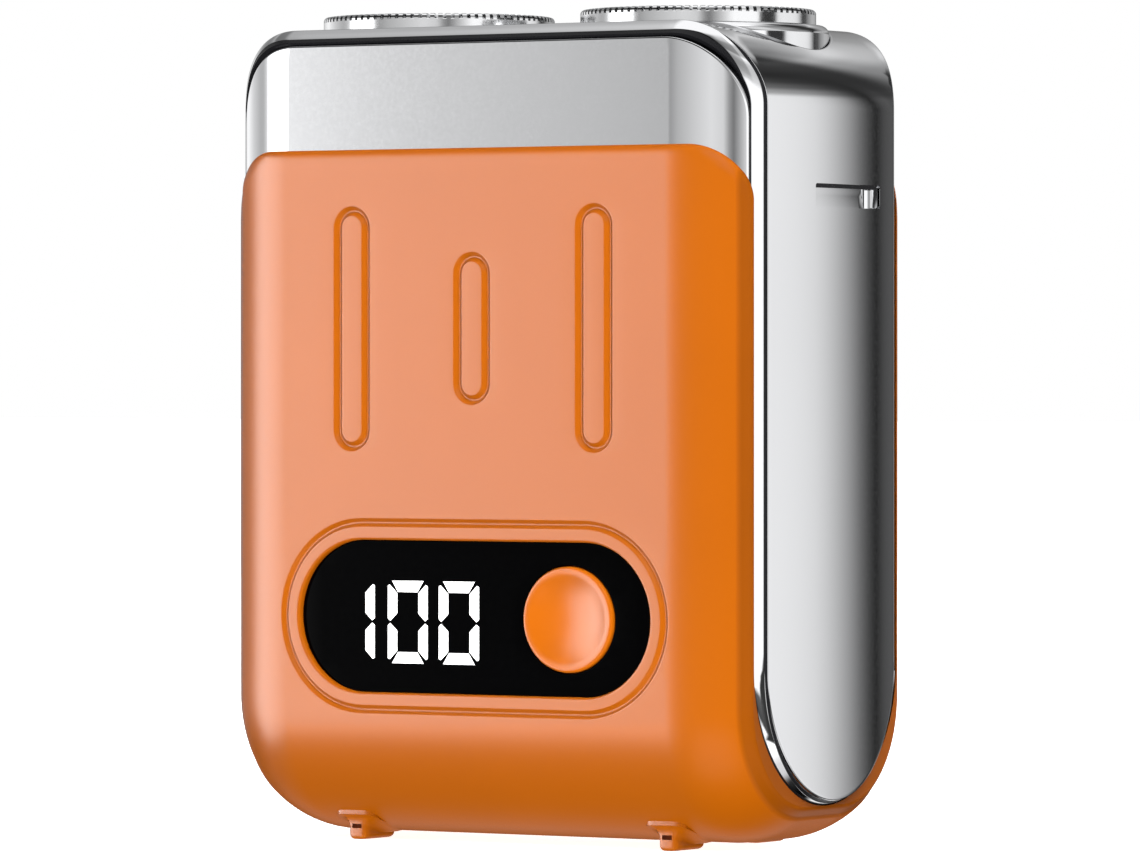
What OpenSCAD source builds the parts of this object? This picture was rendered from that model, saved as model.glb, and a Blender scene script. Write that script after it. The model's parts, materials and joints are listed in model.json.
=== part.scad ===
// Pocket rotary shaver with two shaving heads, shaped like a small suitcase.
// Millimetres. Z is up, the display faces -Y, and the origin is the centre of the
// footprint at the undersides of the feet.

/* [Body] */
// Width over the two polished side faces
body_w = 62; // [61.8:0.1:62.4]
// Depth over the orange front and back
body_d = 34.8; // [34.8:0.1:35.2]
// Height of the polished top above the table
body_h = 80.4; // [80.4:0.1:81]
// Gap between the table and the underside
foot_h = 0.6; // [0.5:0.1:0.8]
// Radius of the bend from the front round to the underside
belly_r = 14; // [14:0.1:14.4]
// Radius of the upright rounded edges
edge_r = 11; // [11:0.1:11.2]
// Half-width of the flat middle of the front
flat_x = 22.1; // [22:0.1:22.2]
// Radius of the top corners, seen from the front
corner_r = 8.5; // [8.2:0.1:8.6]
// Thickness of the polished casing
wall = 2.2; // [2:0.1:2.2]

/* [Cover] */
// Thickness of the orange cover
cover_t = 0.7; // [0.6:0.1:0.7]
// Height of the cover's upper edge
cover_top = 68.4; // [68:0.1:69]
// Radius of the cover's upper corners
cover_corner_r = 5.7; // [5:0.1:6]
// Half-width of the cover over its two side rims
cover_half_w = 30.1; // [30:0.1:30.2]
// Radius of the round lower end of each side face
slot_r = 13.6; // [13.5:0.1:13.7]
// Lowest point of each side face
slot_bottom = 4.3; // [4.2:0.1:4.6]
// Depth of the moulded grooves
groove_depth = 0.35; // [0.2:0.05:0.4]
// Width of the moulded grooves
groove_w = 1.1; // [0.8:0.1:1.2]

/* [Display] */
// Height of the display's centre
display_z = 22.5; // [22:0.1:23]
// Half-width of the display window
window_half_w = 20.4; // [20:0.1:20.6]
// Half-height of the display window
window_half_h = 7.5; // [7.4:0.1:7.6]
// Distance of the window behind the orange face
window_recess = 0.8; // [0.7:0.1:0.9]
// Height of the digits
digit_h = 8.1; // [7.6:0.1:8.4]

/* [Button] */
// Sideways place of the power button
button_x = 10.8; // [10.6:0.1:11]
// Radius of the power button
button_r = 5.15; // [5:0.05:5.2]
// Travel of the power button
button_travel = 0.5; // [0.3:0.1:0.5]

/* [Shaving heads] */
// Distance of each head's axis from the middle
head_x = 15.25; // [15.25:0.25:15.25]
// Radius of each foil
foil_r = 11.6; // [11.4:0.1:11.6]
// Height of the top of the foils
foil_top = 82.05; // [82:0.05:82.1]
// Distance that a foil can sink
foil_float = 0.8; // [0.6:0.1:0.8]
// Number of slots round each foil
foil_slots = 60; // [40:1:72]
// Number of blades on each cutter
blade_count = 12; // [8:1:14]

/* [Drive] */
// Module of the gear teeth
gear_module = 0.5; // [0.5:0.5:0.5]
// Teeth on the motor's pinion
pinion_teeth = 13; // [13:1:13]
// Teeth on each drive gear
gear_teeth = 48; // [48:1:48]
// Radius of the motor can
motor_r = 9.5; // [9:0.1:9.5]
// Radius of the battery cell
cell_r = 7.1; // [7:0.1:7.1]
// Length of the battery cell
cell_l = 50; // [48:1:50]

/* [Hidden] */
$fn = 96;

big = 200;
half_d = body_d / 2;
half_w = body_w / 2;
belly_y = half_d - belly_r;
belly_z = foot_h + belly_r;
edge_y = half_d - edge_r;

// The polished casing under the cover
face_top = body_h - 1.3;
face_corner_r = corner_r - 0.9;
core_half_w = cover_half_w - cover_t;
parting_y = 13;
crown_rise = 0.5;
crown_edge_x = half_w - crown_rise;
crown_edge_y = 12.4;
crown_r = (crown_edge_y * crown_edge_y + crown_rise * crown_rise) / (2 * crown_rise);
crown_bevel = 0.7;
cavity_inset = cover_t + wall;
cavity_half_w = core_half_w - 1.2;
cavity_top = 74.2;
fit_gap = 0.1;
cutter_margin = 0.2;

// The display window and the parts behind it
window_front = -half_d + window_recess;
window_back = window_front + 1.3;
window_ledge = 1.2;
button_back = -14.6;
button_proud = 0.45;
button_dish = 0.7;
button_lip = 0.7;
stem_l = 1.7;
stem_r = 1.6;
switch_top = button_back + stem_l + button_travel + 0.05;
board_front = -10.6;
board_t = 1;
board_hole_x = 19;
board_hole_z = [12, 33];
board_post_r = 2;
board_post_root = 0.6;
screw_r = 0.8;
screw_head_r = 1.5;
screw_head_h = 0.8;
screw_grip = 3;

// Digits: width of one, thickness of a bar, and the left edge of each
digit_w = 4.8;
bar_t = 1.2;
digit_depth = 0.25;
digit_x = [-16.6, -10.4, -4.4];
digit_drop = 0.55;

// The looped grooves of the cover and the ring round the display
loop_x = 14.1;
loop_half_w = 2.2;
long_loop_z = [38.6, 62.9];
short_loop_z = [43.2, 58.3];
ring_out = 2.15;
ring_w = 1;

// The lugs under the body
lug_x = 18.15;
lug_w = 2.2;
lug_front = 10.5;
lug_back = 5.2;
lug_top = 3;
lug_hole = [1.15, 2.4, 1.3];
lug_hole_z = 1.9;

// The nail notch in the right side face
notch_y = [-3.8, 8.9];
notch_z = [62.5, 64.8];
notch_depth = 2.1;

// The top deck
deck_r = 12.9;
deck_gap = 0.15;
deck_bottom = 76.6;
deck_top = body_h + 0.1;
ledge_top = 76.2;
ledge_r = 12.15;
lip_bottom = 79.4;
flange_r = 12;
flange_bottom = 78.8;
foil_t = 0.4;
foil_cap_r = 4.2;
foil_slot = [3.4, 0.34];
foil_slot_r = 7.2;
plate_r = 12;
plate_bottom = 75;
plate_bore_r = 11.05;
spider_r = 4.6;
spider_t = 1;
deck_screw_y = 7;
hub_bottom = 75.2;
blade_top = foil_top - foil_t - 0.1;
blade_bottom = 78.9;

// Motor, gearbox and couplers, from below upwards
motor_bottom = 36.5;
motor_top = 60;
can_t = 0.8;
motor_boss_r = 3;
motor_screw_y = 6;
strut_x = 27;
strut_t = 1.8;
strut_half_w = 6;
strut_bottom = 30;
brace_z = 44;
brace_t = 2;
mount_plate_t = 2;
gear_bottom = 63;
gear_top = 66;
gear_face_w = gear_top - gear_bottom;
gearbox_top = 68;
gearbox_t = 1.4;
magnet_seat_r = 3.4;
magnet_seat_h = 4.6;
post_xy = [[24, 12], [-24, 12], [24, -12], [-24, -12]];
post_r = 1.9;
post_screw_z = 64;
tube_top = 72.5;
tube_r = 2.2;
coupler_r = 3.5;
coupler_bottom = 68.6;
coupler_shoulder = 74.8;
coupler_top = 77.6;
coupler_tip = [4.6, 2.6];
tip_gap = 0.15;
axle_r = 1;
shaft_r = 1;
running_gap = 0.05;
magnet_r = 2.5;

// The battery lies across the body behind the board
cell_y = 1;
cell_z = 21;
port_w = 8.94;
port_t = 3.26;
port_bottom = 1.4;
port_l = 7.3;

// ---- outlines -------------------------------------------------------------

// A slot with round ends, centred, lying along X
module stadium(half_length, half_height) {
    square([2 * (half_length - half_height), 2 * half_height], center = true);
    for (side = [-1, 1])
        translate([side * (half_length - half_height), 0]) circle(half_height);
}

// Extrudes an outline drawn in X and Z along Y, between two values of Y
module along_y(y_low, y_high) {
    translate([0, y_high, 0]) rotate([90, 0, 0]) linear_extrude(y_high - y_low) children();
}

// Extrudes an outline drawn in Y and Z along X, between two values of X
module along_x(x_low, x_high) {
    translate([x_low, 0, 0]) rotate([90, 0, 90]) linear_extrude(x_high - x_low) children();
}

// The body's section seen from above, set in by inset and cut off at width
module plan_section(inset, width) {
    intersection() {
        union() {
            square([2 * flat_x, 2 * (half_d - inset)], center = true);
            square([2 * (flat_x + edge_r - inset), 2 * edge_y], center = true);
            for (sx = [-1, 1], sy = [-1, 1])
                translate([sx * flat_x, sy * edge_y]) circle(edge_r - inset);
        }
        square([2 * width, body_d], center = true);
    }
}

// The same edge profile measured outwards from the axis of the lower bend
module bend_section(inset, width) {
    reach = belly_r - edge_r;
    intersection() {
        union() {
            translate([0, -flat_x]) square([belly_r - inset, 2 * flat_x]);
            translate([0, -width]) square([reach, 2 * width]);
            for (side = [-1, 1]) translate([reach, side * flat_x]) circle(edge_r - inset);
        }
        translate([0, -width]) square([belly_r, 2 * width]);
    }
}

// The body's outer form: front, round bend, underside, bend and back in one sweep
module envelope(inset, width, z_top) {
    translate([0, 0, belly_z]) linear_extrude(z_top - belly_z) plan_section(inset, width);
    for (side = [0, 1])
        mirror([0, side, 0]) translate([0, belly_y, belly_z])
            rotate([0, 90, 0]) rotate_extrude(angle = 90) bend_section(inset, width);
    translate([0, belly_y, belly_z]) rotate([90, 0, 0]) rotate([0, 0, -90])
        linear_extrude(2 * belly_y) bend_section(inset, width);
}

// A panel seen from the front, with two round top corners
module arched_panel(width, top, r) {
    translate([-width, 0]) square([2 * width, top - r]);
    translate([-(width - r), 0]) square([2 * (width - r), top]);
    for (side = [-1, 1]) translate([side * (width - r), top - r]) circle(r);
}

// The outline of a side face, in Y and Z: straight above, round below
module side_face_outline(r, bottom) {
    translate([-r, bottom + r]) square([2 * r, body_h]);
    translate([0, bottom + r]) circle(r);
}

// The crowned and bevelled section of the side faces, seen from above
module crown_section() {
    intersection() {
        polygon([
            [-core_half_w, -slot_r], [core_half_w, -slot_r],
            [crown_edge_x, -crown_edge_y], [half_w + 0.1, crown_bevel - crown_edge_y],
            [half_w + 0.1, crown_edge_y - crown_bevel], [crown_edge_x, crown_edge_y],
            [core_half_w, slot_r], [-core_half_w, slot_r],
            [-crown_edge_x, crown_edge_y], [-half_w - 0.1, crown_edge_y - crown_bevel],
            [-half_w - 0.1, crown_bevel - crown_edge_y], [-crown_edge_x, -crown_edge_y]
        ]);
        translate([half_w - crown_r, 0]) circle(crown_r, $fn = 360);
        translate([crown_r - half_w, 0]) circle(crown_r, $fn = 360);
    }
}

module cavity() {
    envelope(cavity_inset, cavity_half_w, cavity_top);
}

module port_cut() {
    linear_extrude(10) stadium(port_w / 2 + 0.2, port_t / 2 + 0.2);
}

// The outline of the top deck and its seat, seen from above
module deck_outline(r) {
    stadium(head_x + r, r);
}

// ---- casing ---------------------------------------------------------------

module chrome_frame() {
    color([0.86, 0.87, 0.89])
        difference() {
            union() {
                intersection() {
                    envelope(cover_t, core_half_w, body_h);
                    along_y(-parting_y, parting_y) arched_panel(half_w, body_h, corner_r);
                }
                difference() {
                    intersection() {
                        linear_extrude(body_h) crown_section();
                        along_x(-half_w, half_w) side_face_outline(slot_r, slot_bottom);
                        along_y(-half_d, half_d) arched_panel(half_w, body_h, corner_r);
                    }
                    translate([-core_half_w, -half_d, 0])
                        cube([2 * core_half_w, body_d, big]);
                }
            }
            cavity();
            translate([0, 0, ledge_top]) linear_extrude(big) deck_outline(deck_r + deck_gap);
            translate([0, 0, cavity_top - 1]) linear_extrude(big) deck_outline(ledge_r);
            translate([half_w - notch_depth, notch_y[0], notch_z[0]])
                cube([big, notch_y[1] - notch_y[0], notch_z[1] - notch_z[0]]);
            port_cut();
        }
}

// The front and rear shells, without the openings
module shell_blank(front) {
    y_low = front ? -half_d : parting_y;
    y_high = front ? -parting_y : half_d;
    difference() {
        intersection() {
            envelope(cover_t, core_half_w, face_top);
            along_y(y_low, y_high) arched_panel(core_half_w + cutter_margin, face_top, face_corner_r);
        }
        cavity();
    }
}

module board_posts() {
    for (side = [-1, 1], z = board_hole_z)
        translate([side * board_hole_x, 0, z])
            along_y(-half_d + cavity_inset - board_post_root, board_front) circle(board_post_r);
}

module front_shell() {
    color([0.82, 0.83, 0.85])
        difference() {
            union() {
                shell_blank(true);
                board_posts();
            }
            translate([0, 0, display_z]) {
                along_y(-half_d, window_back) stadium(window_half_w, window_half_h);
                along_y(-half_d, -parting_y)
                    stadium(window_half_w - window_ledge, window_half_h - window_ledge);
            }
            for (side = [-1, 1], z = board_hole_z)
                translate([side * board_hole_x, 0, z]) along_y(board_front - screw_grip, 0)
                    circle(screw_r);
        }
}

module rear_shell() {
    color([0.82, 0.83, 0.85]) shell_blank(false);
}

// One looped groove, cut from the front face
module loop_groove(x, span) {
    half_l = (span[1] - span[0]) / 2;
    translate([x, 0, span[0] + half_l]) along_y(-half_d - 1, -half_d + groove_depth)
        difference() {
            rotate(90) stadium(half_l, loop_half_w);
            rotate(90) stadium(half_l - groove_w, loop_half_w - groove_w);
        }
}

module loop_grooves() {
    loop_groove(-loop_x, long_loop_z);
    loop_groove(0, short_loop_z);
    loop_groove(loop_x, long_loop_z);
}

module wrap_cover() {
    color([0.9, 0.45, 0.12])
        difference() {
            union() {
                intersection() {
                    envelope(0, cover_half_w, cover_top);
                    along_y(-half_d, half_d)
                        arched_panel(cover_half_w, cover_top, cover_corner_r);
                }
                for (sx = [-1, 1], sy = [-1, 1])
                    translate([sx * lug_x - lug_w / 2, sy > 0 ? lug_back : -lug_front, 0])
                        cube([lug_w, lug_front - lug_back, lug_top]);
            }
            envelope(cover_t, core_half_w, big);
            along_x(-big, big) side_face_outline(slot_r, slot_bottom);
            for (sx = [-1, 1], sy = [-1, 1])
                translate([sx * lug_x, sy * (lug_front - lug_hole[1] / 2 + 0.05), lug_hole_z])
                    cube([lug_hole[0], lug_hole[1] + 0.1, lug_hole[2]], center = true);
            loop_grooves();
            mirror([0, 1, 0]) loop_grooves();
            translate([0, 0, display_z]) {
                along_y(-half_d - 1, -parting_y) stadium(window_half_w, window_half_h);
                along_y(-half_d - 1, -half_d + groove_depth) difference() {
                    stadium(window_half_w + ring_out, window_half_h + ring_out);
                    stadium(window_half_w + ring_out - ring_w, window_half_h + ring_out - ring_w);
                }
            }
            port_cut();
        }
}

// ---- display and button -----------------------------------------------------

// One pointed bar of a seven-segment digit, lying along X
module bar(length) {
    half = length / 2;
    polygon([
        [-half, 0], [bar_t / 2 - half, bar_t / 2], [half - bar_t / 2, bar_t / 2],
        [half, 0], [half - bar_t / 2, -bar_t / 2], [bar_t / 2 - half, -bar_t / 2]
    ]);
}

// The bars of a one or a nought, with the lower left corner at the origin
module digit_outline(bars) {
    gap = 0.12;
    across = digit_w - bar_t;
    up = (digit_h - bar_t) / 2;
    mid = bar_t / 2;
    places = [
        [digit_w / 2, digit_h - mid, 0], [digit_w - mid, mid + 1.5 * up, 90],
        [digit_w - mid, mid + 0.5 * up, 90], [digit_w / 2, mid, 0],
        [mid, mid + 0.5 * up, 90], [mid, mid + 1.5 * up, 90]
    ];
    for (i = bars)
        translate([places[i][0], places[i][1]]) rotate(places[i][2])
            bar((places[i][2] == 0 ? across : up) - gap);
}

module digits(y_back) {
    one = [1, 2];
    nought = [0, 1, 2, 3, 4, 5];
    translate([0, 0, display_z - digit_h / 2 - digit_drop])
        along_y(window_front, y_back) {
            translate([digit_x[0], 0]) digit_outline(one);
            translate([digit_x[1], 0]) digit_outline(nought);
            translate([digit_x[2], 0]) digit_outline(nought);
        }
}

module display_digits() {
    color([1, 1, 1]) digits(window_front + digit_depth);
}

module display_window() {
    color([0.02, 0.02, 0.02])
        difference() {
            translate([0, 0, display_z]) along_y(window_front, window_back)
                stadium(window_half_w - 0.05, window_half_h - 0.05);
            translate([button_x, 0, display_z]) along_y(-half_d, 0) circle(button_r + fit_gap);
            digits(window_front + digit_depth);
        }
}

module display_module() {
    module_x = [-13.5, 2];
    module_h = 10.6;
    color([0.12, 0.12, 0.13]) translate([module_x[0], window_back, display_z - module_h / 2])
        cube([module_x[1] - module_x[0], board_front - window_back, module_h]);
}

module power_button() {
    dish_r = 15;
    front = window_front - button_proud;
    lip_front = window_back + fit_gap;
    color([0.93, 0.48, 0.14])
        translate([button_x, 0, display_z])
            difference() {
                union() {
                    along_y(front, lip_front) circle(button_r);
                    along_y(lip_front, button_back) circle(button_r + button_lip);
                    along_y(button_back, button_back + stem_l) circle(stem_r);
                }
                translate([0, front + button_dish - dish_r, 0]) sphere(dish_r, $fn = 120);
            }
}

module tact_switch() {
    switch_w = 6;
    plunger_h = 0.3;
    color([0.2, 0.2, 0.22]) translate([button_x, 0, display_z]) {
        along_y(switch_top + plunger_h, board_front) square(switch_w, center = true);
        along_y(switch_top, switch_top + plunger_h) circle(1.5);
    }
}

module main_board() {
    color([0.05, 0.3, 0.16])
        difference() {
            along_y(board_front, board_front + board_t) translate([-21.5, 9]) square([43, 27]);
            for (side = [-1, 1], z = board_hole_z)
                translate([side * board_hole_x, 0, z]) along_y(-half_d, 0) circle(screw_r);
        }
    color([0.1, 0.1, 0.11]) for (x = [-9, 2])
        translate([x, board_front + board_t, 30]) cube([5, 0.9, 4]);
}

module board_screws() {
    color([0.7, 0.7, 0.72]) for (side = [-1, 1], z = board_hole_z)
        translate([side * board_hole_x, 0, z]) {
            along_y(board_front - screw_grip, board_front + board_t) circle(screw_r);
            along_y(board_front + board_t, board_front + board_t + screw_head_h)
                circle(screw_head_r);
        }
}

// ---- charging and battery ---------------------------------------------------

module usb_socket() {
    color([0.75, 0.76, 0.78])
        translate([0, 0, port_bottom]) {
            difference() {
                linear_extrude(port_l) stadium(port_w / 2, port_t / 2);
                translate([0, 0, -0.1]) linear_extrude(port_l - 0.9)
                    stadium(port_w / 2 - 0.3, port_t / 2 - 0.3);
            }
            translate([-3.35, -0.35, 0.6]) cube([6.7, 0.7, port_l - 1.5]);
        }
}

module charge_board() {
    color([0.05, 0.3, 0.16]) translate([-8, -7, port_bottom + port_l]) cube([16, 14, 1]);
}

module battery_cell() {
    color([0.15, 0.35, 0.6]) translate([0, cell_y, cell_z]) along_x(-cell_l / 2, cell_l / 2)
        circle(cell_r);
}

module battery_cradle() {
    color([0.25, 0.25, 0.27])
        difference() {
            union() {
                translate([-24.5, cell_y - 8.5, 12]) cube([49, 17, 7]);
                for (x = [-16, 16], y = [-3, 3]) translate([x, y, 3.7]) cylinder(r = 2, h = 9);
            }
            translate([0, cell_y, cell_z]) along_x(-half_w, half_w) circle(cell_r + 0.05);
        }
}

module battery_tabs() {
    color([0.8, 0.79, 0.74]) for (side = [0, 1])
        mirror([side, 0, 0]) translate([cell_l / 2, cell_y - 3, cell_z - 3]) cube([0.3, 6, 10]);
}

// ---- chassis and motor ------------------------------------------------------

module chassis() {
    gap = cavity_inset + fit_gap;
    color([0.3, 0.3, 0.32])
        difference() {
            union() {
                translate([0, 0, motor_top]) linear_extrude(mount_plate_t)
                    plan_section(gap, cavity_half_w - fit_gap);
                for (p = post_xy)
                    translate([p[0], p[1], motor_top])
                        cylinder(r = post_r, h = gearbox_top - motor_top);
                for (side = [-1, 1])
                    translate([side * strut_x - strut_t / 2, -strut_half_w, strut_bottom])
                        cube([strut_t, 2 * strut_half_w, motor_top - strut_bottom]);
                difference() {
                    translate([-strut_x, -strut_half_w, brace_z])
                        cube([2 * strut_x, 2 * strut_half_w, brace_t]);
                    translate([0, 0, brace_z - 1])
                        cylinder(r = motor_r + fit_gap, h = brace_t + 2);
                }
            }
            cylinder(r = motor_boss_r + fit_gap, h = big);
            for (p = post_xy) translate([p[0], p[1], post_screw_z]) cylinder(r = screw_r, h = big);
            for (side = [-1, 1]) {
                translate([0, side * motor_screw_y, 0]) cylinder(r = screw_r, h = big);
                translate([side * head_x, 0, 0]) cylinder(r = axle_r, h = big);
            }
        }
}

module motor_can() {
    color([0.72, 0.73, 0.75])
        difference() {
            union() {
                translate([0, 0, motor_bottom])
                    cylinder(r = motor_r, h = motor_top - motor_bottom);
                cylinder(r = motor_boss_r, h = motor_top + 1.5);
            }
            translate([0, 0, -1])
                cylinder(r = motor_r - can_t, h = motor_top - can_t + 1);
            cylinder(r = shaft_r + running_gap, h = big);
            for (side = [-1, 1]) translate([0, side * motor_screw_y, 0]) cylinder(r = screw_r, h = big);
        }
}

module motor_magnets() {
    r = motor_r - can_t;
    color([0.25, 0.25, 0.27])
        intersection() {
            translate([0, 0, 40]) difference() {
                cylinder(r = r, h = 16);
                translate([0, 0, -1]) cylinder(r = r - 1.3, h = 18);
            }
            for (side = [-1, 1]) translate([side * r, 0, 50]) cube([r, 11, 40], center = true);
        }
}

module motor_end_cap() {
    end_cap_t = 1.2;
    color([0.85, 0.85, 0.82])
        difference() {
            translate([0, 0, motor_bottom - end_cap_t]) cylinder(r = motor_r, h = end_cap_t);
            cylinder(r = shaft_r + running_gap, h = big);
        }
}

module motor_screws() {
    color([0.7, 0.7, 0.72]) for (side = [-1, 1])
        translate([0, side * motor_screw_y, 0]) {
            translate([0, 0, motor_top - can_t])
                cylinder(r = screw_r, h = mount_plate_t + can_t);
            translate([0, 0, motor_top + mount_plate_t]) cylinder(r = 1.4, h = 0.6);
        }
}

module motor_rotor() {
    shaft_bottom = 34.6;
    coil_r = 6.8;
    coil_l = 14;
    color([0.65, 0.66, 0.68]) translate([0, 0, shaft_bottom])
        cylinder(r = shaft_r, h = gear_top - shaft_bottom);
    color([0.75, 0.42, 0.2]) {
        translate([0, 0, 37.6]) cylinder(r = 2.4, h = 2.4);
        translate([0, 0, 41]) difference() {
            cylinder(r = coil_r, h = coil_l);
            for (i = [0 : 2])
                rotate(120 * i) translate([4, -0.6, -1]) cube([5, 1.2, coil_l + 2]);
        }
    }
}

// Degrees between the start of an involute and the point at pressure angle a
function involute(a) = tan(a) * 180 / PI - a;

// The outline of a spur gear with involute flanks and a little backlash
module gear_outline(teeth) {
    pitch_r = gear_module * teeth / 2;
    base_r = pitch_r * cos(20);
    root_r = pitch_r - 1.25 * gear_module;
    tip_r = pitch_r + 0.95 * gear_module;
    low_r = max(base_r, root_r + 0.01);
    half_tooth = 90 / teeth - 0.07 / pitch_r * 180 / PI + involute(20);
    steps = 3;
    radii = [for (i = [0 : steps]) low_r + (tip_r - low_r) * i / steps];
    flank = [for (r = radii) [r, half_tooth - involute(acos(base_r / r))]];
    tooth = concat(
        [[root_r, -flank[0][1]]], [for (p = flank) [p[0], -p[1]]],
        [for (i = [steps : -1 : 0]) flank[i]], [[root_r, flank[0][1]]]
    );
    polygon([
        for (t = [0 : teeth - 1], p = tooth)
            p[0] * [cos(p[1] + 360 * t / teeth), sin(p[1] + 360 * t / teeth)]
    ]);
}

module motor_pinion() {
    color([0.78, 0.66, 0.35]) translate([0, 0, gear_bottom])
        linear_extrude(gear_face_w) difference() {
            gear_outline(pinion_teeth);
            circle(shaft_r);
        }
}

// A drive gear with its hexagonal tube; phase turns the teeth into mesh
module drive_gear(side, phase) {
    color([0.92, 0.92, 0.88]) translate([side * head_x, 0, 0])
        difference() {
            union() {
                translate([0, 0, gear_bottom]) linear_extrude(gear_face_w) rotate(phase)
                    difference() {
                        gear_outline(gear_teeth);
                        for (i = [0 : 5]) rotate(60 * i) translate([7.4, 0]) circle(1.8);
                    }
                translate([0, 0, gear_top - 0.1])
                    cylinder(r = tube_r, h = tube_top - gear_top + 0.1, $fn = 6);
            }
            cylinder(r = axle_r + running_gap, h = big);
        }
}

module drive_gear_left() {
    drive_gear(-1, 0);
}

module drive_gear_right() {
    drive_gear(1, 180 / gear_teeth);
}

module axle(side) {
    color([0.7, 0.71, 0.73]) translate([side * head_x, 0, motor_top])
        cylinder(r = axle_r, h = tube_top - motor_top - 0.5);
}

module axle_left() {
    axle(-1);
}

module axle_right() {
    axle(1);
}

// A driving cup that slides on the gear's hexagonal tube and turns the cutter
module coupler(side) {
    color([0.15, 0.15, 0.16]) translate([side * head_x, 0, 0])
        difference() {
            union() {
                translate([0, 0, coupler_bottom])
                    cylinder(r = coupler_r, h = coupler_shoulder - coupler_bottom);
                translate([-coupler_tip[0] / 2, -coupler_tip[1] / 2, coupler_shoulder])
                    cube([coupler_tip[0], coupler_tip[1], coupler_top - coupler_shoulder]);
            }
            cylinder(r = tube_r + fit_gap, h = tube_top + foil_float + 0.3, $fn = 6);
        }
}

module coupler_left() {
    coupler(-1);
}

module coupler_right() {
    coupler(1);
}

// A round-wire compression spring, swept as one closed tube
module coil_spring(r, wire_r, z_low, z_high, turns) {
    sides = 8;
    per_turn = 16;
    rings = turns * per_turn;
    rise = z_high - z_low - 2 * wire_r;
    points = [
        for (i = [0 : rings], s = [0 : sides - 1])
            let (
                turn = 360 * i / per_turn,
                out = r + wire_r * cos(360 * s / sides),
                z = z_low + wire_r + rise * i / rings + wire_r * sin(360 * s / sides)
            ) [out * cos(turn), out * sin(turn), z]
    ];
    walls = [
        for (i = [0 : rings - 1], s = [0 : sides - 1])
            let (a = i * sides + s, b = i * sides + (s + 1) % sides)
                [a, a + sides, b + sides, b]
    ];
    ends = [[for (s = [0 : sides - 1]) s], [for (s = [sides - 1 : -1 : 0]) rings * sides + s]];
    polyhedron(points, concat(walls, ends));
}

module coupler_spring(side) {
    color([0.75, 0.76, 0.78]) translate([side * head_x, 0, 0])
        coil_spring(2.85, 0.3, gear_top, coupler_bottom, 3);
}

module coupler_spring_left() {
    coupler_spring(-1);
}

module coupler_spring_right() {
    coupler_spring(1);
}

module gearbox_cover() {
    color([0.3, 0.3, 0.32])
        difference() {
            union() {
                translate([0, 0, gearbox_top]) linear_extrude(gearbox_t)
                    plan_section(cavity_inset + fit_gap, cavity_half_w - fit_gap);
                translate([0, 0, gearbox_top]) cylinder(r = magnet_seat_r, h = magnet_seat_h);
            }
            for (side = [-1, 1])
                translate([side * head_x, 0, 0]) cylinder(r = coupler_r + fit_gap, h = big);
            for (p = post_xy) translate([p[0], p[1], 0]) cylinder(r = screw_r, h = big);
        }
}

module cover_screws() {
    color([0.7, 0.7, 0.72]) for (p = post_xy)
        translate([p[0], p[1], 0]) {
            translate([0, 0, post_screw_z])
                cylinder(r = screw_r, h = gearbox_top + gearbox_t - post_screw_z);
            translate([0, 0, gearbox_top + gearbox_t])
                cylinder(r = screw_head_r, h = screw_head_h);
        }
}

module shaft_seals() {
    color([0.1, 0.1, 0.1]) for (side = [-1, 1])
        translate([side * head_x, 0, gearbox_top + gearbox_t]) difference() {
            cylinder(r = 5.5, h = 0.8);
            cylinder(r = coupler_r + fit_gap, h = big);
        }
}

module body_magnet() {
    color([0.75, 0.76, 0.78]) translate([0, 0, gearbox_top + magnet_seat_h])
        cylinder(r = magnet_r, h = 2);
}

// ---- shaving deck -------------------------------------------------------------

module deck_gasket() {
    color([0.1, 0.1, 0.1]) translate([0, 0, ledge_top]) linear_extrude(deck_bottom - ledge_top)
        difference() {
            deck_outline(deck_r);
            deck_outline(ledge_r + 0.05);
        }
}

module head_deck() {
    color([0.84, 0.85, 0.87])
        difference() {
            translate([0, 0, deck_bottom]) linear_extrude(deck_top - deck_bottom)
                deck_outline(deck_r);
            for (side = [-1, 1]) translate([side * head_x, 0, 0]) {
                cylinder(r = foil_r + fit_gap, h = big);
                cylinder(r = flange_r + 0.15, h = lip_bottom);
            }
            for (side = [-1, 1]) translate([0, side * deck_screw_y, 0])
                cylinder(r = screw_r, h = lip_bottom);
        }
}

module retaining_plate() {
    stop_top = flange_bottom - foil_float;
    color([0.2, 0.2, 0.22])
        difference() {
            union() {
                translate([0, 0, plate_bottom]) linear_extrude(deck_bottom - plate_bottom)
                    deck_outline(plate_r);
                for (side = [-1, 1]) translate([side * head_x, 0, plate_bottom])
                    cylinder(r = plate_r, h = stop_top - plate_bottom);
            }
            for (side = [-1, 1]) {
                translate([side * head_x, 0, 0]) cylinder(r = plate_bore_r, h = big);
                translate([0, side * deck_screw_y, 0]) cylinder(r = screw_r, h = big);
            }
            cylinder(r = magnet_r, h = deck_bottom - 0.1);
        }
    color([0.2, 0.2, 0.22]) for (side = [-1, 1]) translate([side * head_x, 0, plate_bottom])
        difference() {
            for (i = [0 : 2]) rotate(120 * i + (side > 0 ? 60 : 0))
                translate([spider_r, -0.8, 0]) cube([plate_bore_r + 0.35 - spider_r, 1.6, spider_t]);
            cylinder(r = spider_r, h = 3);
        }
    color([0.2, 0.2, 0.22]) for (side = [-1, 1]) translate([side * head_x, 0, plate_bottom])
        difference() {
            cylinder(r = spider_r + 1, h = spider_t);
            translate([0, 0, -1]) cylinder(r = spider_r, h = 3);
        }
}

module retaining_screws() {
    color([0.7, 0.7, 0.72]) for (side = [-1, 1]) translate([0, side * deck_screw_y, 0]) {
        translate([0, 0, plate_bottom]) cylinder(r = screw_r, h = 3.6);
        translate([0, 0, plate_bottom - 0.7]) cylinder(r = 1.4, h = 0.7);
    }
}

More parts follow.
